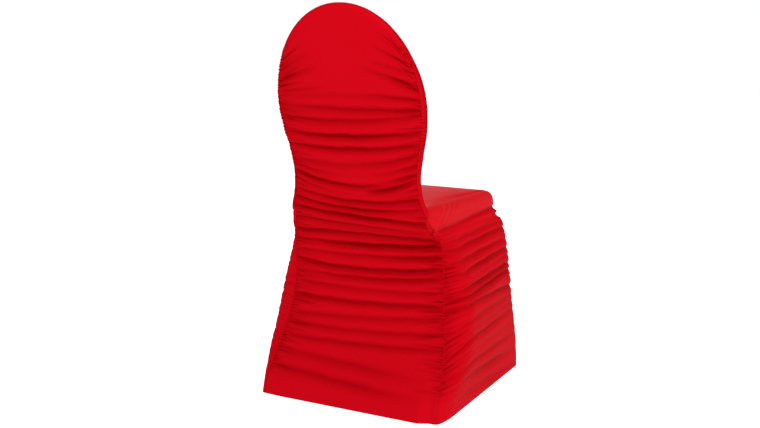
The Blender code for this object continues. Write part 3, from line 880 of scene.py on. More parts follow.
@dataclass
class RearPanel(RuchedPanel):
    """The back of the cover, from the crown to the floor, gathered on both side seams."""

    back: BackForm = BackForm()
    bulge: float = 0.005
    column_count: int = 92
    crowding: float = 0.45
    heel_from: float = 0.84
    main_free: tuple[float, float] = (0.002, 0.028)
    gathered_from: float = 0.03
    gathered_to: tuple[float, float] = (0.84, 0.86)
    calm_hem: tuple[float, float] = (0.030, 0.085)
    calm_crown: tuple[float, float] = (0.885, 0.80)
    gathers_left: Gathers = Gathers(11)
    gathers_right: Gathers = Gathers(12)
    puckers_left: Gathers = Gathers(13, pitch=0.0052, shortest=0.010, longest=0.024, depth=0.0026, width=0.0015)
    puckers_right: Gathers = Gathers(14, pitch=0.0052, shortest=0.010, longest=0.024, depth=0.0026, width=0.0015)

    def form(self, at: Stations) -> np.ndarray:
        """Return the smooth place of every point.

        Args:
            at: Each point's row, place across and ring.

        Returns:
            The points, in metres.
        """
        x, z = self.back.face_point(self.folds.lines(at.row), at.across)
        turned = at.ring > 0.0
        _, upwards = self.back.edge_outwards(x, z)
        angle = mix(math.pi / 2, self.back.seam_angle(upwards), at.ring)
        edge_x, edge_z, depth = self.back.turn(x, z, angle, at.ring, -SEAM_LAP)
        y = self.back.plane(z) + self.bulge * (1.0 - at.across**2) * self.back.roundness(z) - depth * turned
        y = y - self.back.heel(z, at.across) * ease(self.heel_from, 1.0, np.abs(at.across))
        return np.stack([np.where(turned, edge_x, x), y, np.where(turned, edge_z, z)], axis=-1)

    def relief(self, at: Stations) -> np.ndarray:
        """Return the folds, the puckers at both seams and the valley that the seams pull.

        Args:
            at: Each point's row, place across, ring and smooth place.

        Returns:
            The sheet's height over its smooth form, in metres.
        """
        x, z = at.place[:, 0], at.place[:, 2]
        first, _, last = self.folds.lines(at.row)
        flat = np.abs(x - np.where(at.across < 0.0, -1.0, 1.0) * self.back.face_half(z))
        edge = self.back.seam_inboard_flat
        inboard = np.where(at.ring > 0.0, (1.0 - at.ring) * edge, edge + flat)

        def line(number: int) -> np.ndarray:
            """Return a crease's height at every point."""
            heights = self.folds.lines(np.full_like(at.row, float(number)))
            return self.back.face_point(heights, at.across)[1] + self.uneven(number, x)

        main = self.folds.relief(line, x, z, (1.0 - at.across) / 2)
        main = main * mix(self.main_kept, 1.0, ease(*self.main_free, inboard))
        low, (high_left, high_right) = self.gathered_from, self.gathered_to
        left = self.gathers_left.relief(first, inboard, low, high_left)
        left = (left + self.puckers_left.relief(first, inboard, low, high_left)) * (at.across > 0.0)
        right = self.gathers_right.relief(last, inboard, low, high_right)
        right = (right + self.puckers_right.relief(last, inboard, low, high_right)) * (at.across <= 0.0)
        calm = ease(*self.calm_hem, np.where(at.across > 0.0, first, last)) * ease(*self.calm_crown, z)
        return self.sewn(main + (left + right) * calm, inboard)


@dataclass
class InnerBackPanel(Panel):
    """The front of the backrest, with the narrow band that wraps its edge to the rear seam."""

    back: BackForm = BackForm()
    gathers: Gathers = Gathers(51, longest=0.030, depth=0.0022)
    row_count: int = 270
    column_count: int = 60
    crowding: float = 0.4
    pad_crown: float = 0.016
    pad_top: float = 0.78
    pad_rise: tuple[float, float] = (-0.10, 0.12)
    seat_back: float = 0.478
    band_foot: float = 0.455
    band_sunk: float = 0.0016
    band_wander: float = 0.0004
    band_wave: float = 0.05
    band_seed: int = 3
    band_rings: tuple[float, float] = (0.35, 0.75)
    foot_from: float = 0.7
    band_width: float = 0.024
    gathered: tuple[float, float] = (0.46, 0.84)
    calm_top: tuple[float, float] = (0.86, 0.78)
    calm_foot: tuple[float, float] = (0.46, 0.50)

    def pad_front(self, z: Number, across: Number) -> np.ndarray:
        """Return how far back the padded front of the backrest lies, fullest in the middle.

        Args:
            z: Heights above the floor.
            across: -1 at the sitter's right edge and 1 at the left.

        Returns:
            y of each point.
        """
        low, high = self.pad_rise
        rising = ease(self.seat_back + low, self.seat_back + high, z)
        fullness = (1.0 - across**2) * rising * ease(HEIGHT, self.pad_top, z)
        return self.back.plane(z) - 2 * self.back.half_thickness(z) - self.pad_crown * fullness

    def form(self, at: Stations) -> np.ndarray:
        """Return the smooth place of every point.

        Args:
            at: Each point's row, place across and ring.

        Returns:
            The points, in metres.
        """
        side = mix(self.back.corner, self.seat_back, at.row)
        top = HEIGHT - self.back.edge_out
        x, z = self.back.face_point((side, mix(top, self.seat_back, at.row), side), at.across)
        turned = at.ring > 0.0
        _, upwards = self.back.edge_outwards(x, z)
        angle = mix(-math.pi / 2, self.back.seam_angle(upwards), at.ring)
        z = z - (self.seat_back - self.band_foot) * ease(0.0, 1.0, at.ring) * ease(self.foot_from, 1.0, at.row)
        x = np.where(turned & (z < self.back.crown_from), np.sign(x) * self.back.face_half(z), x)
        edge_x, edge_z, depth = self.back.turn(x, z, angle, at.ring, SEAM_LAP)
        y = np.where(turned, self.back.plane(z) - depth, self.pad_front(z, at.across))
        return np.stack([np.where(turned, edge_x, x), y, np.where(turned, edge_z, z)], axis=-1)

    def relief(self, at: Stations) -> np.ndarray:
        """Return the drag of the seam and its puckers, on the band round the edge.

        Args:
            at: Each point's row, place across, ring and smooth place.

        Returns:
            The sheet's height over its smooth form, in metres.
        """
        height = at.place[:, 2]
        band = ease(*self.band_rings, at.ring)
        inboard = np.where(at.ring > 0.0, (1.0 - at.ring) * self.band_width, self.gathers.longest)
        puckers = self.gathers.relief(height, inboard, *self.gathered)
        calm = ease(*self.calm_top, height) * ease(*self.calm_foot, height)
        uneven = self.band_wander * wander(height, self.band_seed, self.band_wave)
        return (-self.band_sunk + uneven + puckers * calm) * band


@dataclass
class SidePanel(RuchedPanel):
    """A side of the skirt, gathered on its rear and front seams.

    Its creases climb from the rear seam to the bend, a share of the way along, and run on almost level.
    """

    hand: Hand = Hand.RIGHT
    skirt: SkirtForm = SkirtForm()
    length: float = 0.440
    column_count: int = 150
    crowding: float = 0.35
    bend: float = 0.22
    valley: float = 0.0018
    main_kept: float = 0.4
    unrest: float = 0.0012
    unrest_wave: float = 0.13
    first_seed: int = 70
    main_free_rear: float = 0.03
    main_free_front: float = 0.10
    cushion_valley: float = 0.0045
    valley_rows: float = 0.4
    valley_from: float = 0.10
    calm_rows: float = 0.5
    gathered_from: tuple[float, float] = (0.03, 0.05)
    gathered_to: tuple[float, float] = (0.42, 0.43)
    puckered_to: float = 0.40
    calm_hem: tuple[float, float] = (0.03, 0.08)
    gathers_rear: Gathers = Gathers(21)
    puckers_rear: Gathers = Gathers(23, pitch=0.0052, shortest=0.010, longest=0.026, depth=0.0022, width=0.0015)
    gathers_front: Gathers = Gathers(22, longest=0.040, depth=0.0016)

    def line(self, row: np.ndarray, share: np.ndarray) -> np.ndarray:
        """Return the height of a row at a share of the way from the rear seam.

        Args:
            row: Row numbers.
            share: 0 at the rear seam and 1 at the front.

        Returns:
            The height above the floor.
        """
        rear, middle, front = self.folds.lines(row)
        near = 1.0 - (1.0 - np.minimum(share / self.bend, 1.0)) ** 2
        far = np.clip((share - self.bend) / (1.0 - self.bend), 0.0, 1.0)
        return mix(rear, middle, near) + (front - middle) * far

    def height(self, row: np.ndarray, share: np.ndarray) -> np.ndarray:
        """Return each point's height: the first row follows the seam below the cushion.

        Args:
            row: Row numbers.
            share: 0 at the rear seam and 1 at the front.

        Returns:
            The height above the floor.
        """
        below = self.line(np.ones_like(row), share)
        top = self.skirt.crease(share) - CREASE_GAP
        return np.where(row < 1.0, mix(top, below, np.clip(row, 0.0, 1.0)), self.line(row, share))

    def form(self, at: Stations) -> np.ndarray:
        """Return the smooth place of every point.

        Args:
            at: Each point's row, place across and ring.

        Returns:
            The points, in metres.
        """
        share = (1.0 + at.across) / 2
        z = self.height(at.row, share)
        x, y = self.skirt.section(z, share)
        x = x + SEAM_LAP * (np.abs(at.across) >= 1.0)
        return np.stack([self.hand.value * x, y, z], axis=-1)

    def relief(self, at: Stations) -> np.ndarray:
        """Return the folds, the puckers at both seams and the valleys that the seams pull.

        Args:
            at: Each point's row, place across, ring and smooth place.

        Returns:
            The sheet's height over its smooth form, in metres.
        """
        share = (1.0 + at.across) / 2
        z = at.place[:, 2]
        from_rear, from_front = share * self.length, (1.0 - share) * self.length
        rear, _, front = self.folds.lines(at.row)

        def line(number: int) -> np.ndarray:
            """Return a crease's height at every point."""
            return self.line(np.full_like(at.row, float(number)), share) + self.uneven(number, from_rear)

        main = self.folds.relief(line, from_rear, z, share)
        main = main * mix(self.main_kept, 1.0, ease(0.0, self.main_free_rear, from_rear))
        free = ease(0.0, self.valley_rows, at.row)
        main = main * mix(self.main_kept, 1.0, ease(0.0, self.main_free_front, from_front)) * free
        (low_rear, low_front), (high_rear, high_front) = self.gathered_from, self.gathered_to
        behind = self.gathers_rear.relief(rear, from_rear, low_rear, high_rear)
        behind = behind + self.puckers_rear.relief(rear, from_rear, low_rear, self.puckered_to)
        ahead = self.gathers_front.relief(front, from_front, low_front, high_front)
        calm = ease(*self.calm_hem, z) * ease(0.0, self.calm_rows, at.row)
        below_cushion = -self.cushion_valley * (1.0 - free) * ease(0.0, self.valley_from, share)
        return self.sewn(main + (behind + ahead) * calm, np.minimum(from_rear, from_front)) + below_cushion


@dataclass(frozen=True)
class Drag:
    """A soft drag on the cushion's side: how far along its foot lies, its strength, and how far it leans."""

    foot: float
    strength: float
    lean: float


@dataclass
class SeatPanel(Panel):
    """The smooth panel boxed over the cushion, down to the crease below it."""

    skirt: SkirtForm = SkirtForm()
    inner: InnerBackPanel | None = None
    row_count: int = 120
    column_count: int = 90
    edge: float = 0.480
    dome: float = 0.020
    wall_top: float = 0.455
    roll_in: float = 0.024
    roll_share: float = 0.6
    pull_reach: float = 0.16
    drags: tuple[Drag, ...] = (
        Drag(0.010, 0.7, 0.120),
        Drag(0.045, 1.0, 0.160),
        Drag(0.085, 0.9, 0.180),
        Drag(0.130, 0.5, 0.190),
    )
    drag_depth: float = 0.0016
    drag_width: float = 0.009
    drag_rings: float = 0.35
    crease_valley: float = 0.0045
    crease_rings: float = 0.84
    crease_from: float = 0.08
    rear_valley: float = 0.0030
    rear_reach: float = 0.03
    junction_gap: float = 0.0004
    foot_gap: float = 0.0008
    last_ring: float = 0.999999

    def junction(self, across: np.ndarray) -> np.ndarray:
        """Return the line where the seat meets the backrest.

        Args:
            across: 0 in the middle and 1 at the sitter's left.

        Returns:
            The points, in metres.
        """
        z = np.full_like(across, self.inner.seat_back)
        x = self.inner.back.face_half(z) * across
        return np.stack([x, self.inner.pad_front(z, across) - self.junction_gap, z], axis=-1)

    def wall(self, along: np.ndarray, ring: np.ndarray) -> np.ndarray:
        """Return the cushion's rolled edge and side, on the sitter's left.

        Args:
            along: 0 at the rear seam and 1 in the middle of the front.
            ring: 0 on the seat's top and 1 at the crease below the cushion.

        Returns:
            The points, in metres.
        """
        roll = np.clip(ring / self.roll_share, 0.0, 1.0) * math.pi / 2
        down = np.clip((ring - self.roll_share) / (1.0 - self.roll_share), 0.0, 1.0)
        share = np.minimum(along / self.skirt.side_share, 1.0)
        wall = mix(self.wall_top, self.skirt.crease(share) + CREASE_GAP, down)
        x, y = self.skirt.outline(wall, along)
        away_x, away_y = self.skirt.outwards(wall, along)
        inset = self.roll_in * (1.0 - np.sin(roll))
        z = wall + (self.edge - self.wall_top) * np.cos(roll)
        return np.stack([x - inset * away_x, y - inset * away_y, z], axis=-1)

    def rear_edge(self, ring: np.ndarray) -> np.ndarray:
        """Return the edge along the foot of the band, then down the rear seam, on the left.

        Args:
            ring: 0 on the seat's top and 1 at the crease below the cushion.

        Returns:
            The points, in metres.
        """
        foot = np.clip(ring / self.roll_share, 0.0, 1.0)
        down = np.clip((ring - self.roll_share) / (1.0 - self.roll_share), 0.0, 1.0)
        ones = np.ones_like(ring)
        place = self.inner.form(Stations(ones, ones, np.minimum(foot, self.last_ring)))
        seam_z = mix(self.inner.band_foot, self.skirt.crease(0.0) + CREASE_GAP, down)
        sewn = foot >= 1.0
        x = np.where(sewn, self.inner.back.seam.at(seam_z) + CREASE_GAP, place[:, 0])
        y = np.where(sewn, self.inner.back.seam.at(seam_z, 2), place[:, 1])
        z = np.where(sewn, seam_z, place[:, 2] - self.foot_gap)
        return np.stack([x, y, z], axis=-1)

    def side(self, along: np.ndarray, ring: np.ndarray) -> np.ndarray:
        """Return the wall, drawn in at its rear end to meet the band's foot and the rear seam.

        Args:
            along: 0 at the rear seam and 1 in the middle of the front.
            ring: 0 on the seat's top and 1 at the crease below the cushion.

        Returns:
            The points, in metres.
        """
        start = np.zeros_like(along)
        pull = (1.0 - ease(0.0, self.pull_reach, along))[:, None]
        return self.wall(along, ring) + (self.rear_edge(ring) - self.wall(start, ring)) * pull

    def form(self, at: Stations) -> np.ndarray:
        """Return the smooth place of every point: row 0 is the front edge and row 1 the backrest.

        Args:
            at: Each point's row, place across and ring.

        Returns:
            The points, in metres.
        """
        hand = np.where(at.across < 0.0, -1.0, 1.0)
        width = np.abs(at.across)
        top = np.zeros_like(at.row)
        corner = self.skirt.front_corner_along
        front = self.side(mix(1.0, corner, width), top)
        flank = self.side(mix(corner, 0.0, at.row), top)
        rear = self.junction(width)
        corner_front = self.side(np.full_like(at.row, corner), top)
        corner_rear = self.side(top, top)
        middle = mix(self.side(np.ones_like(at.row), top), self.junction(top), at.row[:, None])
        w, r = width[:, None], at.row[:, None]
        face = mix(front, rear, r) + mix(middle, flank, w) - mix(middle, mix(corner_front, corner_rear, r), w)
        swell = np.sin(math.pi * np.clip(at.row * 0.9 + 0.02, 0, 1)) ** 0.7
        face[:, 2] += self.dome * (1.0 - width**2) * swell
        along = np.where(width >= 1.0, mix(corner, 0.0, at.row), mix(1.0, corner, width))
        point = np.where((at.ring > 0.0)[:, None], self.side(along, at.ring), face)
        point[:, 0] *= hand
        return point

    def relief(self, at: Stations) -> np.ndarray:
        """Return the valley above the crease and the soft drags that rise from the rear seam.

        Args:
            at: Each point's row, place across, ring and smooth place.

        Returns:
            The sheet's height over its smooth form, in metres.
        """
        corner = self.skirt.front_corner_along
        width = np.abs(at.across)
        along = np.where(width >= 1.0, mix(corner, 0.0, at.row), mix(1.0, corner, width))
        depth = np.zeros_like(at.row)
        for drag in self.drags:
            line = drag.foot + drag.lean * (1.0 - at.ring)
            bump = np.exp(-(((along - line) / self.drag_width) ** 2))
            depth -= self.drag_depth * bump * ease(0.0, self.drag_rings, at.ring) * drag.strength
        crease = -self.crease_valley * ease(self.crease_rings, 1.0, at.ring)
        crease = crease * np.where(width >= 1.0, ease(0.0, self.crease_from, along), 1.0)
        sewn = -self.rear_valley * (1.0 - ease(0.0, self.rear_reach, along)) * ease(0.0, self.roll_share, at.ring)
        return (depth + sewn) * (width >= 1.0) + crease


@dataclass
class FrontPanel(Panel):
    """The front of the skirt, finished plainly."""

    skirt: SkirtForm = SkirtForm()
    row_count: int = 140
    column_count: int = 70
    drape: Profile = Profile(((0.000, -0.506), (0.213, -0.475), (0.383, -0.455), (0.441, -0.436)))
    drape_from: float = 0.7
    tucked_up: float = 0.0014
    lap: float = 0.0003
    slack: float = 0.002
    seam_valley: float = 0.0014
    seam_from: float = 0.97
    crease_valley: float = 0.0045
    crease_rows: float = 0.03

    def form(self, at: Stations) -> np.ndarray:
        """Return the smooth place of every point.

        Args:
            at: Each point's row, place across and ring.

        Returns:
            The points, in metres.
        """
        z = mix(self.skirt.crease(1.0) + self.tucked_up, 0.0, at.row)
        end_x, end_y = self.skirt.section(z, np.ones_like(z))
        y = mix(end_y, self.drape.at(z), ease(1.0, self.drape_from, np.abs(at.across)))
        return np.stack([at.across * (end_x + self.lap), y, z], axis=-1)

    def relief(self, at: Stations) -> np.ndarray:
        """Return a shallow slack hollow, and the valleys at the seams.

        Args:
            at: Each point's row, place across, ring and smooth place.

        Returns:
            The sheet's height over its smooth form, in metres.
        """
        hollow = -self.slack * (1.0 - at.across**2) * np.sin(math.pi * at.row) ** 2
        below_cushion = -self.crease_valley * (1.0 - ease(0.0, self.crease_rows, at.row))
        return hollow - self.seam_valley * ease(self.seam_from, 1.0, np.abs(at.across)) + below_cushion


REAR_CREASES = (
    Crease(0.8527, 0.9160, 0.8527, 0.0, 0.0, 0.0),
    Crease(0.815, 0.860, 0.800, 0.0, 0.0, 0.0),
    Crease(0.788, 0.830, 0.767, 0.0, 0.0, 0.0),
    Crease(0.764, 0.797, 0.744, 0.0, 0.0, 0.0),
    Crease(0.737, 0.750, 0.730, 0.0, 0.0, 0.0),
    Crease(0.724, 0.728, 0.717, 1.2, 1.0, 3.0),
    Crease(0.706, 0.696, 0.695, 1.8, 2.8, 3.0, 1.2),
    Crease(0.679, 0.669, 0.684, 3.0, 2.8, 2.0, 1.2),
    Crease(0.643, 0.634, 0.647, 3.0, 4.5, 3.0),
    Crease(0.614, 0.605, 0.618, 3.0, 4.0, 3.0),
    Crease(0.583, 0.569, 0.595, 2.2, 1.8, 3.0, 1.2),
    Crease(0.567, 0.546, 0.573, 2.6, 0.3, 2.2),
    Crease(0.550, 0.520, 0.543, 4.2, 3.4, 0.3),
    Crease(0.531, 0.501, 0.517, 2.2, 0.5, 1.0),
    Crease(0.508, 0.483, 0.496, 2.2, 3.6, 3.2),
    Crease(0.485, 0.464, 0.471, 3.0, 4.0, 2.2),
    Crease(0.461, 0.445, 0.438, 2.8, 6.0, 2.8),
    Crease(0.434, 0.421, 0.415, 3.0, 1.4, 0.4),
    Crease(0.398, 0.397, 0.396, 4.0, 2.4, 3.0),
    Crease(0.374, 0.371, 0.383, 2.2, 5.2, 5.6),
    Crease(0.348, 0.344, 0.357, 1.8, 2.6, 4.8),
    Crease(0.319, 0.311, 0.329, 4.2, 4.0, 4.8),
    Crease(0.295, 0.289, 0.307, 2.0, 3.2, 3.6),
    Crease(0.267, 0.262, 0.272, 2.6, 2.0, 2.2),
    Crease(0.232, 0.231, 0.244, 3.6, 3.4, 3.4),
    Crease(0.192, 0.197, 0.217, 2.2, 2.2, 2.4),
    Crease(0.167, 0.167, 0.183, 2.6, 2.2, 2.4),
    Crease(0.136, 0.138, 0.150, 2.2, 2.6, 2.4),
    Crease(0.104, 0.093, 0.082, 1.8, 2.2, 0.0, 1.3),
    Crease(0.070, 0.055, 0.046, 2.2, 2.6, 0.0, 1.4),
    Crease(0.000, 0.000, 0.000, 0.0, 0.0, 0.0),
)
REAR_TUCKS = (
    Tuck((-163, 812), (-138, 834), (-90, 862), 1.6, 1.0),
    Tuck((-172, 801), (-140, 815), (-100, 834), 1.4, 0.8),
    Tuck((-180, 793), (-119, 812), (-72, 840), 2.2, 1.1),
    Tuck((-178, 786), (-155, 796), (-125, 808), 1.6, 0.7),
    Tuck((-184, 774), (-125, 785), (-64, 805), 2.3, 1.0),
    Tuck((-184, 766), (-155, 771), (-125, 779), 1.6, 0.6),
    Tuck((-184, 745), (-115, 765), (-42, 790), 3.1, 1.1),
    Tuck((-184, 738), (-150, 745), (-110, 754), 1.8, 0.6),
    Tuck((-186, 731), (-165, 736), (-125, 743), 2.0, 0.6),
    Tuck((150, 812), (128, 826), (105, 838), 1.4, 0.9),
    Tuck((157, 788), (115, 806), (80, 824), 2.3, 1.2),
    Tuck((162, 776), (130, 788), (90, 804), 1.7, 0.9),
    Tuck((166, 762), (116, 777), (60, 794), 3.2, 1.1),
    Tuck((167, 749), (135, 753), (100, 760), 2.2, 0.7),
    Tuck((168, 737), (120, 740), (45, 746), 2.3, 0.8),
    Tuck((169, 716), (150, 714), (120, 712), 1.3, 0.5),
    Tuck((172, 695), (150, 691), (110, 687), 1.7, 0.5),
    Tuck((174, 660), (150, 658), (115, 655), 1.5, 0.5),
    Tuck((170, 629), (150, 626), (110, 621), 1.5, 0.6),
    Tuck((160, 597), (140, 593), (95, 587), 1.8, 0.6),
    Tuck((-182, 628), (-150, 623), (-115, 620), 1.6, 0.5),
    Tuck((-172, 603), (-150, 598), (-110, 594), 1.6, 0.5),
    Tuck((-160, 556), (-110, 540), (-50, 527), 3.2, 0.8),
    Tuck((-158, 542), (-95, 518), (-25, 510), 5.0, 0.9, True),
    Tuck((-166, 523), (-150, 516), (-120, 508), 1.8, 0.6),
    Tuck((152, 519), (130, 512), (90, 500), 2.0, 0.6),
    Tuck((170, 448), (140, 441), (100, 436), 1.8, 0.6),
    Tuck((185, 418), (160, 412), (130, 408), 1.6, 0.6),
    Tuck((-178, 458), (-155, 456), (-120, 455), 1.6, 0.5),
    Tuck((-185, 428), (-160, 430), (-130, 432), 1.4, 0.6),
    Tuck((-198, 374), (-175, 373), (-150, 372), 2.2, 0.5),
    Tuck((198, 340), (160, 337), (100, 334), 2.2, 0.6),
    Tuck((-200, 341), (-178, 340), (-150, 338), 1.8, 0.5),
    Tuck((200, 282), (160, 281), (80, 284), 2.4, 0.7),
    Tuck((-198, 300), (-170, 301), (-130, 303), 2.4, 0.5),
    Tuck((200, 257), (170, 255), (130, 253), 2.2, 0.6),
    Tuck((-201, 259), (-180, 258), (-150, 257), 1.6, 0.5),
    Tuck((203, 216), (170, 216), (110, 214), 2.0, 0.6),
    Tuck((-202, 230), (-175, 229), (-140, 229), 1.6, 0.5),
    Tuck((206, 180), (180, 180), (140, 178), 1.5, 0.5),
    Tuck((-207, 199), (-180, 198), (-150, 198), 1.6, 0.5),
    Tuck((210, 150), (185, 150), (145, 149), 2.2, 0.6),
    Tuck((-212, 157), (-180, 156), (-100, 152), 2.2, 0.6),
    Tuck((214, 126), (190, 123), (145, 118), 1.8, 0.6),
    Tuck((-213, 131), (-195, 131), (-165, 130), 1.3, 0.5),
    Tuck((-216, 118), (-198, 118), (-170, 117), 1.2, 0.5),
)
RIGHT_CREASES = (
    Crease(0.420, 0.420, 0.420, 0.0, 0.0, 0.0),
    Crease(0.392, 0.395, 0.408, 1.6, 2.2, 2.0),
    Crease(0.373, 0.375, 0.386, 2.2, 3.2, 3.0),
    Crease(0.342, 0.348, 0.357, 2.0, 3.0, 1.8),
    Crease(0.308, 0.322, 0.332, 1.8, 3.4, 2.8),
    Crease(0.290, 0.308, 0.313, 0.4, 1.0, 2.2),
    Crease(0.269, 0.286, 0.289, 2.2, 3.8, 3.6),
    Crease(0.253, 0.267, 0.273, 2.6, 3.8, 4.2),
    Crease(0.225, 0.248, 0.226, 2.6, 2.6, 3.4),
    Crease(0.180, 0.211, 0.204, 1.6, 1.6, 1.4),
    Crease(0.153, 0.189, 0.186, 1.0, 0.8, 1.2),
    Crease(0.127, 0.166, 0.162, 2.4, 2.3, 1.2),
    Crease(0.104, 0.137, 0.130, 0.6, 0.6, 0.4),
    Crease(0.082, 0.109, 0.096, 1.6, 1.9, 0.7),
    Crease(0.060, 0.076, 0.050, 0.3, 2.2, 0.6, 1.3),
    Crease(0.034, 0.034, 0.008, 0.0, 1.2, 0.2, 1.2),
    Crease(0.000, 0.000, 0.000, 0.0, 0.0, 0.0),
)
RIGHT_TUCKS = (
    Tuck((2, 410), (45, 413), (140, 419), 1.8, 0.6),
    Tuck((2, 400), (45, 402), (120, 404), 2.0, 0.6),
    Tuck((2, 383), (40, 384), (110, 386), 2.0, 0.6),
    Tuck((2, 364), (40, 367), (110, 368), 1.8, 0.6),
    Tuck((2, 355), (40, 358), (90, 359), 1.8, 0.5),
    Tuck((2, 331), (40, 337), (100, 341), 2.0, 0.6),
    Tuck((2, 320), (40, 327), (80, 330), 1.6, 0.5),
    Tuck((2, 298), (40, 307), (100, 313), 2.0, 0.6),
    Tuck((2, 281), (50, 292), (110, 297), 1.8, 0.6),
    Tuck((2, 262), (40, 271), (90, 277), 1.6, 0.5),
    Tuck((2, 239), (40, 249), (100, 257), 2.2, 0.6),
    Tuck((2, 211), (40, 226), (110, 238), 2.0, 0.6),
    Tuck((2, 195), (40, 210), (90, 222), 1.6, 0.6),
    Tuck((2, 167), (40, 187), (90, 200), 1.6, 0.6),
    Tuck((2, 141), (40, 164), (100, 179), 1.8, 0.6),
    Tuck((4, 115), (45, 136), (110, 151), 1.8, 0.7),
    Tuck((4, 92), (45, 109), (110, 121), 1.6, 0.7),
    Tuck((436, 427), (400, 423), (350, 417), 2.6, 0.5),
    Tuck((436, 415), (370, 413), (260, 408), 1.8, 0.8),
    Tuck((436, 399), (380, 397), (290, 390), 1.6, 0.7),
    Tuck((436, 371), (390, 370), (320, 366), 1.4, 0.7),
    Tuck((436, 300), (390, 301), (330, 301), 1.6, 0.7),
    Tuck((436, 250), (400, 255), (330, 257), 2.4, 0.7),
    Tuck((436, 120), (400, 122), (350, 124), 1.2, 0.7),
)
LEFT_CREASES = (
    Crease(0.420, 0.420, 0.420, 0.0, 0.0, 0.0),
    Crease(0.396, 0.399, 0.406, 1.5, 1.6, 1.6),
    Crease(0.370, 0.374, 0.380, 2.0, 2.4, 2.2),
    Crease(0.340, 0.346, 0.345, 2.6, 2.8, 3.0),
    Crease(0.311, 0.313, 0.320, 2.2, 3.2, 2.6),
    Crease(0.288, 0.283, 0.288, 1.8, 2.4, 2.6),
    Crease(0.257, 0.258, 0.262, 2.8, 3.8, 3.0),
    Crease(0.226, 0.233, 0.229, 3.2, 2.8, 2.6),
    Crease(0.195, 0.202, 0.206, 2.2, 2.2, 1.8),
    Crease(0.166, 0.174, 0.178, 1.8, 1.4, 2.0),
    Crease(0.132, 0.146, 0.150, 2.6, 3.0, 2.2),
    Crease(0.102, 0.100, 0.104, 1.4, 2.0, 1.6),
    Crease(0.069, 0.062, 0.058, 1.4, 2.8, 2.0, 1.3),
    Crease(0.036, 0.024, 0.016, 0.0, 1.2, 0.5),
    Crease(0.000, 0.000, 0.000, 0.0, 0.0, 0.0),
)
LEFT_TUCKS = (
    Tuck((2, 384), (40, 387), (120, 390), 2.0, 0.7),
    Tuck((2, 355), (45, 357), (110, 361), 2.2, 0.6),
    Tuck((2, 326), (40, 325), (100, 328), 2.0, 0.6),
    Tuck((2, 299), (40, 297), (120, 296), 2.0, 0.6),
    Tuck((2, 273), (45, 272), (110, 270), 2.2, 0.6),
    Tuck((2, 242), (40, 243), (100, 246), 2.0, 0.6),
    Tuck((2, 211), (40, 213), (120, 217), 2.0, 0.6),
    Tuck((2, 181), (40, 182), (100, 187), 1.8, 0.6),
    Tuck((2, 149), (40, 153), (110, 160), 1.8, 0.6),
    Tuck((4, 117), (50, 118), (120, 122), 1.6, 0.7),
    Tuck((4, 86), (50, 83), (130, 78), 1.6, 0.8),
    Tuck((436, 362), (390, 361), (330, 358), 1.8, 0.7),
    Tuck((436, 305), (390, 303), (330, 299), 2.0, 0.7),
    Tuck((436, 245), (400, 246), (340, 248), 2.2, 0.7),
    Tuck((436, 193), (400, 192), (350, 190), 1.8, 0.7),
    Tuck((436, 128), (400, 126), (350, 124), 1.6, 0.7),
)


class Shade:
    """Wraps a node's output so that shader maths reads as Python."""

    def __init__(self, tree: bpy.types.NodeTree, socket: Any) -> None:
        """Keep the node tree and the output."""
        self.tree = tree
        self.socket = socket

    def maths(self, operation: str, first: Any, second: Any) -> "Shade":
        """Add a Math node.

        Args:
            operation: The node's operation.
            first: A number or a wrapped output.
            second: A number or a wrapped output.

        Returns:
            The node's wrapped output.
        """
        node = self.tree.nodes.new("ShaderNodeMath")
        node.operation = operation
        for socket, value in zip(node.inputs, (first, second)):
            if isinstance(value, Shade):
                self.tree.links.new(value.socket, socket)
            else:
                socket.default_value = value
        return Shade(self.tree, node.outputs[0])

    def __add__(self, other: Any) -> "Shade":
        """Add."""
        return self.maths("ADD", self, other)

    def __radd__(self, other: Any) -> "Shade":
        """Add to a number."""
        return self.maths("ADD", other, self)

    def __sub__(self, other: Any) -> "Shade":
        """Take away."""
        return self.maths("SUBTRACT", self, other)

    def __rsub__(self, other: Any) -> "Shade":
        """Take from a number."""
        return self.maths("SUBTRACT", other, self)

    def __mul__(self, other: Any) -> "Shade":
        """Multiply."""
        return self.maths("MULTIPLY", self, other)

    def __rmul__(self, other: Any) -> "Shade":
        """Multiply a number."""
        return self.maths("MULTIPLY", other, self)


class NodeBench:
    """Adds nodes to a material or a world."""

    def __init__(self, tree: bpy.types.NodeTree) -> None:
        """Start from an empty tree."""
        self.tree = tree
        tree.nodes.clear()

    def add(self, kind: str, settings: dict[str, Any] | None = None, **inputs: Any) -> bpy.types.Node:
        """Add one node.

        Args:
            kind: The node's type.
            settings: Its own settings, set first.
            inputs: Values or links of its sockets, with an underscore for each space in a name.

        Returns:
            The node.
        """
        node = self.tree.nodes.new(kind)
        for name, value in (settings or {}).items():
            setattr(node, name, value)
        for name, value in inputs.items():
            socket = node.inputs[name.replace("_", " ")]
            if isinstance(value, Shade):
                value = value.socket
            if isinstance(value, bpy.types.NodeSocket):
                self.tree.links.new(value, socket)
            else:
                socket.default_value = value
        return node

    def shade(self, node: bpy.types.Node, output: str | int = 0) -> Shade:
        """Wrap one of a node's outputs."""
        return Shade(self.tree, node.outputs[output])

    def ramp(self, value: Any, ends: tuple[float, float]) -> bpy.types.Node:
        """Add a soft step from 0 to 1 between two values."""
        settings = {"interpolation_type": "SMOOTHSTEP"}
        return self.add("ShaderNodeMapRange", settings, Value=value, From_Min=ends[0], From_Max=ends[1])

    def blend(self, share: Any, first: Any, second: Any) -> bpy.types.NodeSocket:
        """Mix two colours, each given as numbers or as a link."""
        return self.add("ShaderNodeMix", {"data_type": "RGBA"}, Factor=share, A=first, B=second).outputs["Result"]


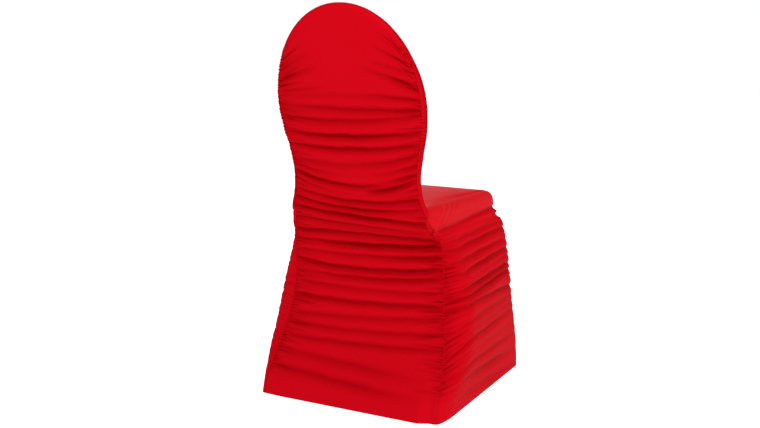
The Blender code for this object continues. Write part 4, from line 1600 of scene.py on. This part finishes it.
@dataclass(frozen=True)
class Knit:
    """A bright red stretch knit with a satin face, darkened by painted shade in its creases and towards its outline.
    """

    name: str = "red_stretch_knit"
    colour: Colour = (0.440, 0.0014, 0.0062, 1.0)
    deep_colour: Colour = (0.400, 0.0010, 0.0045, 1.0)
    cloud_scale: float = 9.0
    roughness: float = 0.50
    roughness_spread: float = 0.08
    specular: float = 0.004
    # Painted shade: the dark red that creases and edges turned from the view are mixed towards, and how strongly
    # crease depth mixes it in.
    painted_shade_colour: Colour = (0.250, 0.0002, 0.0012, 1.0)
    crease_shade_share: float = 0.8
    sheen: float = 0.004
    sheen_roughness: float = 0.45
    sheen_tint: Colour = (1.0, 0.4, 0.4, 1.0)
    # Painted rim shade: its strength, and the facing range over which the colour darkens towards the outline.
    rim_shade: float = 0.9
    rim_shade_range: tuple[float, float] = (0.60, 1.0)
    stitch: float = 0.0011
    stitch_depth: float = 0.0003
    bump: float = 0.25

    def material(self) -> bpy.types.Material:
        """Return the cloth's material, made on its first use.

        Returns:
            The material.
        """
        made = bpy.data.materials.get(self.name)
        if made:
            return made
        made = bpy.data.materials.new(self.name)
        made.use_nodes = True
        bench = NodeBench(made.node_tree)
        place = bench.add("ShaderNodeTexCoord").outputs["Object"]
        cloudy = bench.shade(
            bench.add("ShaderNodeTexNoise", Vector=place, Scale=self.cloud_scale, Detail=3.0, Roughness=0.55), "Fac"
        )
        loops = bench.shade(bench.add("ShaderNodeTexNoise", Vector=place, Scale=1.0 / self.stitch, Detail=1.0), "Fac")
        # The hollow attribute is each point's crease depth, used below for painted crease shade.
        hollow = bench.shade(bench.add("ShaderNodeAttribute", {"attribute_name": "hollow"}), "Fac")
        # Painted rim shade: the colour darkens where the surface turns away from the camera.
        facing = bench.add("ShaderNodeLayerWeight", Blend=0.5).outputs["Facing"]
        away = bench.shade(bench.ramp(facing, self.rim_shade_range))
        face = bench.blend(cloudy * 0.5, self.colour, self.deep_colour)
        # Painted shade in the base colour: darker in creases and towards the outline.
        painted_shade_mix = bench.blend(hollow * self.crease_shade_share + away * self.rim_shade, face, self.painted_shade_colour)
        relief = bench.add("ShaderNodeBump", Height=loops, Strength=self.bump, Distance=self.stitch_depth)
        shader = bench.add(
            "ShaderNodeBsdfPrincipled",
            Base_Color=painted_shade_mix,
            Roughness=self.roughness + (cloudy - 0.5) * self.roughness_spread,
            Normal=relief.outputs["Normal"],
            Specular_IOR_Level=self.specular,
            Sheen_Weight=self.sheen,
            Sheen_Roughness=self.sheen_roughness,
            Sheen_Tint=self.sheen_tint,
        )
        bench.add("ShaderNodeOutputMaterial", Surface=shader.outputs["BSDF"])
        return made


@dataclass(frozen=True)
class PaleFloor:
    """The plain pale floor and the even light round it."""

    height: float = float(ORIGIN[2])
    reach: float = 40.0
    below: float = 0.0005
    colour: Colour = (0.30, 0.30, 0.30, 1.0)
    glow: float = 1.12

    def build(self) -> bpy.types.Object:
        """Lay the floor just below the hem.

        Returns:
            The floor.
        """
        bm = bmesh.new()
        bmesh.ops.create_grid(bm, x_segments=1, y_segments=1, size=self.reach)
        bmesh.ops.translate(bm, verts=bm.verts[:], vec=(0.0, 0.0, self.height - self.below))
        mesh = bpy.data.meshes.new("floor")
        bm.to_mesh(mesh)
        bm.free()
        floor = bpy.data.objects.new("floor", mesh)
        bpy.context.scene.collection.objects.link(floor)
        material = bpy.data.materials.new("pale_floor")
        material.use_nodes = True
        bench = NodeBench(material.node_tree)
        shader = bench.add(
            "ShaderNodeBsdfPrincipled",
            Base_Color=self.colour,
            Roughness=0.9,
            Emission_Color=(1.0, 1.0, 1.0, 1.0),
            Emission_Strength=self.glow,
        )
        bench.add("ShaderNodeOutputMaterial", Surface=shader.outputs["BSDF"])
        mesh.materials.append(material)
        return floor


@dataclass(frozen=True)
class SoftLight:
    """One large soft lamp."""

    name: str
    place: tuple[float, float, float]
    target: tuple[float, float, float]
    size: float
    power: float

    def build(self) -> bpy.types.Object:
        """Hang the lamp and point it at its target.

        Returns:
            The lamp.
        """
        lamp = bpy.data.lights.new(self.name, "AREA")
        lamp.shape = "SQUARE"
        lamp.size = self.size
        lamp.energy = self.power
        holder = bpy.data.objects.new(self.name, lamp)
        holder.location = self.place
        aim = Vector(self.target) - Vector(self.place)
        holder.rotation_euler = aim.to_track_quat("-Z", "Y").to_euler()
        bpy.context.scene.collection.objects.link(holder)
        return holder


@dataclass(frozen=True)
class Studio:
    """The camera and the light."""

    camera_place: tuple[float, float, float] = (-0.963, 1.6535, -0.165)
    camera_forward: tuple[float, float] = (0.461, -0.887)
    camera_pitch: float = math.radians(8.86)
    lens: float = 40.83
    sensor: float = 36.0
    horizon: Colour = (1.0, 1.0, 1.0, 1.0)
    dome: Colour = (0.35, 0.35, 0.35, 1.0)
    band: tuple[float, float] = (0.14, 0.34)
    lamps: tuple[SoftLight, ...] = (
        SoftLight("key", (-1.85, 2.60, 2.30), (0.0, -0.15, -0.45), 1.9, 149.0),
        SoftLight("side", (-2.60, -0.40, 0.90), (0.0, -0.25, -0.50), 1.2, 24.0),
        SoftLight("fill", (1.60, -2.20, 1.00), (0.0, -0.2, -0.5), 1.6, 60.0),
    )

    def camera(self) -> bpy.types.Object:
        """Set the camera up behind the chair, on the sitter's right.

        Returns:
            The camera.
        """
        data = bpy.data.cameras.new("camera")
        data.sensor_width = self.sensor
        data.lens = self.lens
        holder = bpy.data.objects.new("camera", data)
        holder.location = self.camera_place
        x, y = self.camera_forward
        level = Vector((x, y, 0.0)).normalized() * math.cos(self.camera_pitch)
        forward = level + Vector((0.0, 0.0, -math.sin(self.camera_pitch)))
        holder.rotation_euler = forward.to_track_quat("-Z", "Y").to_euler()
        bpy.context.scene.collection.objects.link(holder)
        bpy.context.scene.camera = holder
        return holder

    def light(self) -> None:
        """Fill the room with even light and hang the lamps."""
        world = bpy.data.worlds.new("studio")
        world.use_nodes = True
        bench = NodeBench(world.node_tree)
        place = bench.add("ShaderNodeTexCoord").outputs["Generated"]
        height = bench.add("ShaderNodeSeparateXYZ", Vector=place).outputs["Z"]
        share = bench.ramp(height, self.band).outputs["Result"]
        glow = bench.add("ShaderNodeBackground", Color=bench.blend(share, self.horizon, self.dome), Strength=1.0)
        bench.add("ShaderNodeOutputWorld", Surface=glow.outputs["Background"])
        bpy.context.scene.world = world
        for lamp in self.lamps:
            lamp.build()
        bpy.context.scene.view_settings.view_transform = "Standard"


def clear_scene() -> None:
    """Remove what Blender's start-up file holds."""
    for item in list(bpy.data.objects):
        bpy.data.objects.remove(item, do_unlink=True)


def main() -> None:
    """Build the cover, its floor, its light and its camera."""
    logging.basicConfig(level=logging.INFO, format="%(message)s")
    clear_scene()
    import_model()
    studio = Studio()
    studio.camera()
    studio.light()
    PaleFloor().build()
    # Copies of the knit that differ only in their painted rim shade: the rear panel's, the wrapped band's, which is
    # strongest, and the sides'.
    rear_rim_shaded = Knit(name="rear_rim_shaded_red_stretch_knit", rim_shade_range=(0.44, 0.90))
    band_rim_shaded = Knit(name="band_rim_shaded_red_stretch_knit", rim_shade=1.0, rim_shade_range=(0.10, 0.58))
    gathered = Knit(rim_shade_range=(0.62, 1.0))
    # The seat and front: smooth stretched cloth with more specular and sheen and no rim shade, and a lighter, pinker
    # base colour that is painted highlight for the seat top.
    taut_highlit = Knit(
        name="taut_highlit_red_stretch_knit",
        colour=(0.460, 0.0050, 0.0090, 1.0),
        deep_colour=(0.430, 0.0040, 0.0080, 1.0),
        specular=0.010,
        sheen=0.006,
        rim_shade=0.0,
    )
    inner = InnerBackPanel(
        "inner_back", "inner_back_panel", (0, -1, 0), rings=10, flat=(0.42, 0.50), hold=Hold.STRETCHED
    )
    panels: list[Panel] = [
        RearPanel("rear", "rear_panel", (0, 1, 0), rings=8, flat=(0.46, 1.10), folds=Folds(REAR_CREASES, REAR_TUCKS)),
        inner,
        SeatPanel("seat", "seat_panel", (0, 0, 1), rings=28, flat=(0.50, 0.47), hold=Hold.STRETCHED, inner=inner),
        SidePanel(
            "side_right", "side_panel_right", (-1, 0, 0), flat=(0.46, 0.50), folds=Folds(RIGHT_CREASES, RIGHT_TUCKS)
        ),
        SidePanel(
            "side_left",
            "side_panel_left",
            (1, 0, 0),
            flat=(0.46, 0.50),
            hand=Hand.LEFT,
            skirt=SkirtForm(heel_hand=1.0),
            folds=Folds(LEFT_CREASES, LEFT_TUCKS, gain=0.85),
            gathers_rear=Gathers(31, depth=0.0014),
            gathers_front=Gathers(32, longest=0.040, depth=0.0010),
        ),
        FrontPanel("front", "front_panel", (0, -1, 0), flat=(0.45, 0.46), hold=Hold.STRETCHED),
    ]
    knits = {RearPanel: rear_rim_shaded, InnerBackPanel: band_rim_shaded, SeatPanel: taut_highlit, FrontPanel: taut_highlit, SidePanel: gathered}
    for panel in panels:
        panel.build(knits[type(panel)])
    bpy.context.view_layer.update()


if __name__ == "__main__":
    main()
